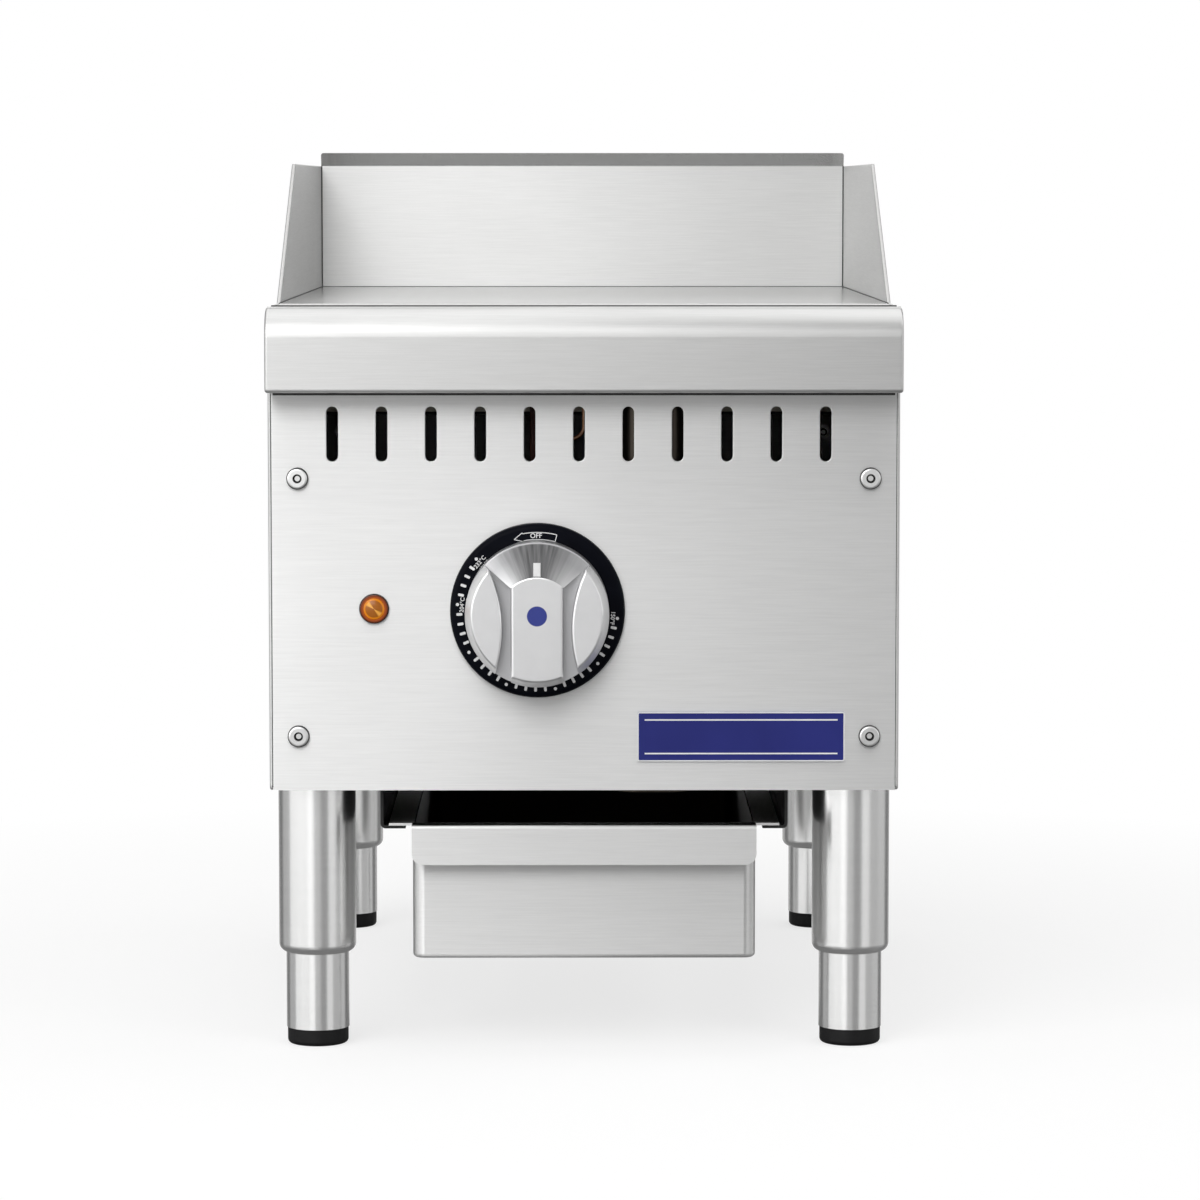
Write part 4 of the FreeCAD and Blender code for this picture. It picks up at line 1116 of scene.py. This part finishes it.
@dataclass
class Knob:
    """Grip knob with its pointer, on the thermostat's shaft."""

    pointer_width: float = 0.0035
    pointer_start: float = 0.0189
    pointer_end: float = 0.0252
    pointer_height: float = 0.0003
    pointer_root: float = 0.0004
    pointer_round: float = 0.00025
    bar_top: float = 0.0183
    skirt_radius: float = 0.0345
    slope_drop: float = 0.011

    def __post_init__(self) -> None:
        """Take the middle of the knob's face from the CAD."""
        self.centre = front_centre(*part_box("control_knob"))

    def dress(self) -> None:
        """Put the finishes on the CAD nodes."""
        silver = KnobSilver(
            "knob_silver", pale=grey(0.81, 0.005), dark=grey(0.78, 0.005), roughness=0.36, unevenness=0.02,
            scale=1800.0, relief=0.0000005, centre=self.centre.freeze(),
        )
        Shop.dress(silver, "control_knob")
        Shop.dress(SCREW_STEEL, "knob_spring_clip", "thermostat_shaft")

    def slope(self, height: float) -> float:
        """Give how far the knob's sloping top has fallen back at a height above the centre."""
        return (height - self.bar_top) * self.slope_drop / (self.skirt_radius - self.bar_top)

    def build_pointer(self) -> None:
        """Raise the pale pointer line on the knob's sloping top."""
        shape = bmesh.new()
        half = self.pointer_width / 2
        start = (-half, -self.pointer_height, self.pointer_start)
        for corner in Shop.box(shape, start, (half, self.pointer_root, self.pointer_end)):
            corner.co.y += self.slope(corner.co.z)
        front = [edge for edge in shape.edges if all(v.co.y < self.slope(v.co.z) for v in edge.verts)]
        Shop.bevel(shape, front, self.pointer_round, segments=2)
        bmesh.ops.translate(shape, verts=shape.verts, vec=self.centre)
        Shop.piece("knob_pointer", shape, PRINT_WHITE, "knob", "knob_silver")


@dataclass
class PilotLamp:
    """Amber pilot lamp."""

    def dress(self) -> None:
        """Put the finishes on the CAD nodes."""
        low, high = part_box("pilot_lamp_lens")
        centre = ((low + high) / 2).freeze()
        amber = LampAmber(
            "lamp_amber", pale=(0.44, 0.14, 0.014), dark=(0.32, 0.095, 0.01), roughness=0.2,
            unevenness=0.05, scale=500.0, relief=0.00001, specular=0.3, centre=centre,
        )
        rim = LampRim(
            "lamp_rim", pale=(0.03, 0.005, 0.002), dark=(0.018, 0.003, 0.001), roughness=0.18,
            unevenness=0.04, scale=700.0, relief=0.00001, specular=0.4, centre=centre,
        )
        Shop.dress(amber, "pilot_lamp_lens")
        Shop.dress(rim, "pilot_lamp_body", "pilot_lamp_nut")


@dataclass
class Badge:
    """Blue badge plate with a bare silver border and pinstripes."""

    border: float = 0.0006
    corner: float = 0.001
    raised: float = 0.00012
    stripe: float = 0.0007
    stripe_inset: float = 0.0035

    def dress(self) -> None:
        """Put the finish on the plate."""
        Shop.dress(BADGE_BLUE, "badge_plate")

    def build_border(self) -> None:
        """Raise the silver frame round the plate."""
        low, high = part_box("badge_plate")
        shape = bmesh.new()
        corners = [(low.x, low.z), (high.x, low.z), (high.x, high.z), (low.x, high.z)]
        shape.faces.new([shape.verts.new((x, low.y, z)) for x, z in corners])
        Shop.bevel(shape, shape.verts, self.corner, segments=4, affect="VERTICES")
        face = shape.faces[:][0]
        bmesh.ops.inset_region(
            shape, faces=[face], thickness=self.border, use_even_offset=True, use_boundary=True,
        )
        bmesh.ops.delete(shape, geom=[face], context="FACES_ONLY")
        Shop.raise_faces(shape, shape.faces, self.raised)
        Shop.piece("badge_border", shape, BADGE_SILVER, "griddle", "badge_blue")

    def build_stripes(self) -> None:
        """Raise the two pinstripes."""
        low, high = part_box("badge_plate")
        shape = bmesh.new()
        for z in (low.z + self.stripe_inset, high.z - self.stripe_inset - self.stripe):
            start = (low.x + self.stripe_inset, low.y - self.raised, z)
            Shop.box(shape, start, (high.x - self.stripe_inset, low.y, z + self.stripe))
        Shop.piece("badge_pinstripes", shape, BADGE_SILVER, "griddle", "badge_blue")


@dataclass
class Drawer:
    """Grease drawer and its rails."""

    half_width: float = 0.08375
    wall: float = 0.0012
    floor_share: float = 0.75
    lip_reach: float = 0.011
    lip_bend: float = 0.0015
    corner: float = 0.0058

    def dress(self) -> None:
        """Put the finishes on the CAD nodes."""
        low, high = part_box("grease_drawer")
        start = Vector((-self.half_width, low.y + self.lip_reach, 0.0))
        end = Vector((self.half_width, high.y, 0.0))
        skin = self.wall / 2
        reach = (end - start) / 2 - Vector((skin, skin, 0.0))
        # Painted light and shade: the drawer copy's base colour is set to how light falls on it; its inside
        # is painted shade.
        sheet = DrawerSteel(
            "drawer_sheet", pale=steel(0.83), dark=steel(0.775), roughness=0.5, anisotropy=0.82,
            middle=((start + end) / 2).freeze(), reach=reach.freeze(), corner=self.corner - skin,
            floor=low.z + self.wall * self.floor_share,
            brim=Vector((0.0, low.y + self.lip_bend, high.z - skin)).freeze(),
        )
        Shop.dress(sheet, "grease_drawer")
        Shop.dress(RAIL_PAINTED_SHADE, "left_drawer_rail", "right_drawer_rail")


@dataclass
class Legs:
    """Four legs with their screw feet."""

    corners: tuple[str, ...] = ("front_left", "front_right", "rear_left", "rear_right")

    def dress(self) -> None:
        """Put the finishes on the CAD nodes."""
        for corner in self.corners:
            Shop.dress(LEG_STEEL, f"{corner}_leg")
            Shop.dress(FOOT_STEEL, f"{corner}_foot_tube")
            Shop.dress(FOOT_RUBBER, f"{corner}_foot_pad")
        Shop.dress(SCREW_STEEL, "leg_studs", "leg_nuts")
        Shop.dress(BUSH_PLASTIC, "leg_bushes")


@dataclass
class HeatingBay:
    """Elements, insulation, thermostat and wiring inside the body."""

    def dress(self) -> None:
        """Put the finishes on the CAD nodes."""
        Shop.dress(ELEMENT_SHEATH, "left_heating_element", "right_heating_element")
        Shop.dress(CERAMIC, "element_terminals")
        Shop.dress(SCREW_STEEL, "element_clamp_bars", "clamp_studs", "clamp_nuts", "thermostat_screws")
        Shop.dress(FIBRE, "insulation_blanket")
        Shop.dress(THERMOSTAT_PLASTIC, "thermostat_body", "terminal_block")
        Shop.dress(COPPER_TUBE, "thermostat_bulb")
        Shop.dress(LEAD_RUBBER, "supply_leads", "element_leads", "lamp_leads")


@dataclass
class Softbox:
    """A rectangular area lamp aimed at the griddle."""

    name: str
    place: Triple
    width: float
    height: float
    radiance: float

    def hang(self) -> None:
        """Add the lamp to the scene."""
        lamp = bpy.data.lights.new(self.name, "AREA")
        lamp.shape = "RECTANGLE"
        lamp.size = self.width
        lamp.size_y = self.height
        lamp.energy = self.radiance * math.pi * self.width * self.height
        made = bpy.data.objects.new(self.name, lamp)
        made.location = self.place
        made.rotation_mode = "QUATERNION"
        made.rotation_quaternion = aimed(self.place, "-Z")
        made.visible_camera = False
        bpy.context.scene.collection.objects.link(made)


@dataclass
class Card:
    """A grey card that the camera doesn't see and only reflections show.

    Its shade is how bright the grey is, and its gloss how strongly it mirrors at a glancing angle.
    """

    name: str
    shade: float
    gloss: float = 0.0
    mirror_roughness: float = 0.1
    glance_power: float = 3.0
    ring_sides: int = 64

    def paper(self) -> bpy.types.Material:
        """Make the card's paper.

        Returns:
            The material.
        """
        made = bpy.data.materials.new(f"{self.name}_paper")
        graph = Graph(empty_tree(made))
        mirror = graph.add("ShaderNodeBsdfGlossy", {"Roughness": self.mirror_roughness}).outputs[0]
        glance = graph.add("ShaderNodeLayerWeight").outputs["Facing"]
        share = graph.math("MULTIPLY", graph.math("POWER", glance, self.glance_power), self.gloss)
        graph.close(graph.layer(share, graph.glow(grey(self.shade)), mirror))
        return made

    def stand(self, shape: Shape) -> None:
        """Add the card to the scene.

        Args:
            shape: its mesh, in place; freed here.
        """
        made = Shop.solid(self.name, shape, self.paper())
        made.visible_camera = False
        made.visible_diffuse = False
        made.visible_shadow = False

    def flat(self, place: Triple, width: float, height: float) -> None:
        """Stand a flat card that faces the griddle.

        Args:
            place: its middle.
            width: its width.
            height: its height.
        """
        shape = bmesh.new()
        bmesh.ops.create_grid(shape, x_segments=1, y_segments=1, size=0.5)
        turn = aimed(place, "Z").to_matrix().to_4x4()
        matrix = Matrix.Translation(place) @ turn @ Matrix.Diagonal((width, height, 1.0, 1.0))
        bmesh.ops.transform(shape, verts=shape.verts, matrix=matrix)
        self.stand(shape)

    def ring(self, radius: float, height: float) -> None:
        """Stand a ring of card round the griddle.

        Args:
            radius: its radius.
            height: its height above the floor.
        """
        shape = bmesh.new()
        bmesh.ops.create_cone(
            shape, cap_ends=False, segments=self.ring_sides, radius1=radius, radius2=radius, depth=height,
            matrix=Matrix.Translation((0.0, 0.0, height / 2)),
        )
        self.stand(shape)

    def table(self, size: float, lift: float) -> None:
        """Lay a card on the floor.

        Args:
            size: its width and depth.
            lift: its height above the floor.
        """
        shape = bmesh.new()
        raised = Matrix.Translation((0.0, 0.0, lift))
        bmesh.ops.create_grid(shape, x_segments=1, y_segments=1, size=size / 2, matrix=raised)
        self.stand(shape)


@dataclass
class Studio:
    """White floor and surround, soft lamps, cards and the camera."""

    floor_size: float = 14.0
    floor_colour: Colour = grey(0.36)
    floor_roughness: float = 0.9
    floor_lift: float = 0.7
    floor_near: float = 0.3
    floor_far: float = 0.75
    surround: float = 0.14
    low_row: tuple[Triple, ...] = (
        (-100.0, 1.5, 0.55), (-68.0, 1.3, 1.6), (-42.0, 1.0, 1.65), (-20.0, 0.85, 1.95), (0.0, 0.8, 0.68),
        (20.0, 0.85, 0.25), (42.0, 1.0, 1.25), (68.0, 1.3, 0.6), (100.0, 1.5, 0.75),
    )
    row_radius: float = 2.4
    row_height: float = 0.6
    row_depth: float = 1.15
    lens: float = 141.1
    sensor: float = 36.0
    view_end: float = 50.0
    eye: Triple = (-0.0043, -2.4785, 0.4205)
    pitch: float = 4.994
    yaw: float = 0.3036

    @staticmethod
    def seen_directly(graph: Graph) -> Socket:
        """Find the rays that show the surround: camera, glossy and transmission.

        Args:
            graph: the graph that the nodes go into.

        Returns:
            A socket that is 1 for such rays.
        """
        path = graph.add("ShaderNodeLightPath").outputs
        mirror = graph.math("MAXIMUM", path["Is Glossy Ray"], path["Is Transmission Ray"])
        return graph.math("MAXIMUM", path["Is Camera Ray"], mirror)

    def light_world(self) -> None:
        """Surround the scene with white, dimmer for the light that falls on the griddle."""
        world = bpy.data.worlds.new("surround")
        bpy.context.scene.world = world
        graph = Graph(empty_tree(world))
        seen, fill = [
            graph.add("ShaderNodeBackground", {"Color": WHITE, "Strength": strength}).outputs[0]
            for strength in (1.0, self.surround)
        ]
        graph.close(graph.layer(self.seen_directly(graph), fill, seen), "ShaderNodeOutputWorld")

    def lay_floor(self) -> None:
        """Lay the pale floor, which keeps the griddle's shadow."""
        shape = bmesh.new()
        bmesh.ops.create_grid(shape, x_segments=2, y_segments=2, size=self.floor_size / 2)
        paint = Surface("floor_paint")
        paint.put("Base Color", self.floor_colour)
        paint.put("Roughness", self.floor_roughness)
        paint.put("Specular IOR Level", 0.0)
        seen = self.seen_directly(paint)
        lift = paint.glow(WHITE, paint.math("MULTIPLY", seen, self.floor_lift))
        near = paint.add("ShaderNodeAddShader", {0: paint.shader.outputs["BSDF"], 1: lift}).outputs[0]
        away = paint.spread(paint.length(paint.place), (self.floor_near, self.floor_far), RISING)
        paint.close(paint.layer(paint.math("MULTIPLY", away, seen), near, paint.glow(WHITE)))
        made = Shop.solid("floor", shape, paint.material)

    def hang_lamps(self) -> None:
        """Hang the low row, by bearing, width and radiance, then the other lamps, and stand the cards."""
        for bearing, width, radiance in self.low_row:
            turn = math.radians(bearing)
            place = (self.row_radius * math.sin(turn), -self.row_radius * math.cos(turn), self.row_height)
            Softbox(f"low_softbox_{bearing:+.0f}", place, width, self.row_depth, radiance).hang()
        lamps = [
            Softbox("front_softbox", (-0.46, -2.36, 1.42), 1.1, 0.9, 3.8),
            Softbox("left_softbox", (-1.3, -1.75, 1.62), 1.6, 0.8, 2.9),
            Softbox("right_softbox", (1.7, -1.7, 1.6), 1.2, 0.9, 0.45),
            Softbox("top_front_softbox", (0.0, -1.1, 1.9), 2.4, 0.8, 0.95),
            Softbox("top_softbox", (0.0, 0.0, 2.1), 2.4, 0.8, 0.6),
            Softbox("top_back_softbox", (0.0, 0.95, 1.9), 2.4, 0.8, 0.5),
            Softbox("right_high_softbox", (2.2, 0.2, 1.9), 1.8, 0.8, 1.5),
            Softbox("back_softbox", (0.0, 2.4, 0.85), 1.7, 1.5, 1.25),
            Softbox("back_left_softbox", (-1.2, 2.08, 0.75), 0.6, 1.3, 0.7),
            Softbox("back_right_softbox", (1.2, 2.08, 0.75), 0.6, 1.3, 0.7),
        ]
        for lamp in lamps:
            lamp.hang()
        Card("surround_card", shade=0.2).ring(radius=3.6, height=3.0)
        Card("brow_card", shade=0.52).flat(place=(0.0, -1.3, 1.68), width=2.4, height=0.7)
        Card("floor_card", shade=0.18, gloss=0.9).table(size=6.8, lift=0.0002)

    def place_camera(self) -> None:
        """Stand the camera where the photograph was taken from."""
        lens = bpy.data.cameras.new("camera")
        lens.lens = self.lens
        lens.sensor_width = self.sensor
        lens.clip_end = self.view_end
        made = bpy.data.objects.new("camera", lens)
        made.location = self.eye
        made.rotation_euler = (math.radians(90.0 - self.pitch), 0.0, math.radians(-self.yaw))
        bpy.context.scene.collection.objects.link(made)
        bpy.context.scene.camera = made


def main() -> None:
    """Dress the CAD nodes, build the scene's own pieces and set the studio up."""
    logging.basicConfig(level=logging.INFO, format="%(name)s: %(message)s")
    bpy.context.scene.view_settings.view_transform = "Standard"
    top = CookTop()
    top.dress()
    top.build_seams()
    casing = Casing()
    casing.dress()
    casing.build_joints()
    dial = Dial()
    dial.dress()
    dial.build_scale()
    dial.build_numbers()
    dial.build_off_mark()
    knob = Knob()
    knob.dress()
    knob.build_pointer()
    PilotLamp().dress()
    badge = Badge()
    badge.dress()
    badge.build_border()
    badge.build_stripes()
    Drawer().dress()
    Legs().dress()
    HeatingBay().dress()
    studio = Studio()
    studio.light_world()
    studio.lay_floor()
    studio.hang_lamps()
    studio.place_camera()


if __name__ == "__main__":
    main()
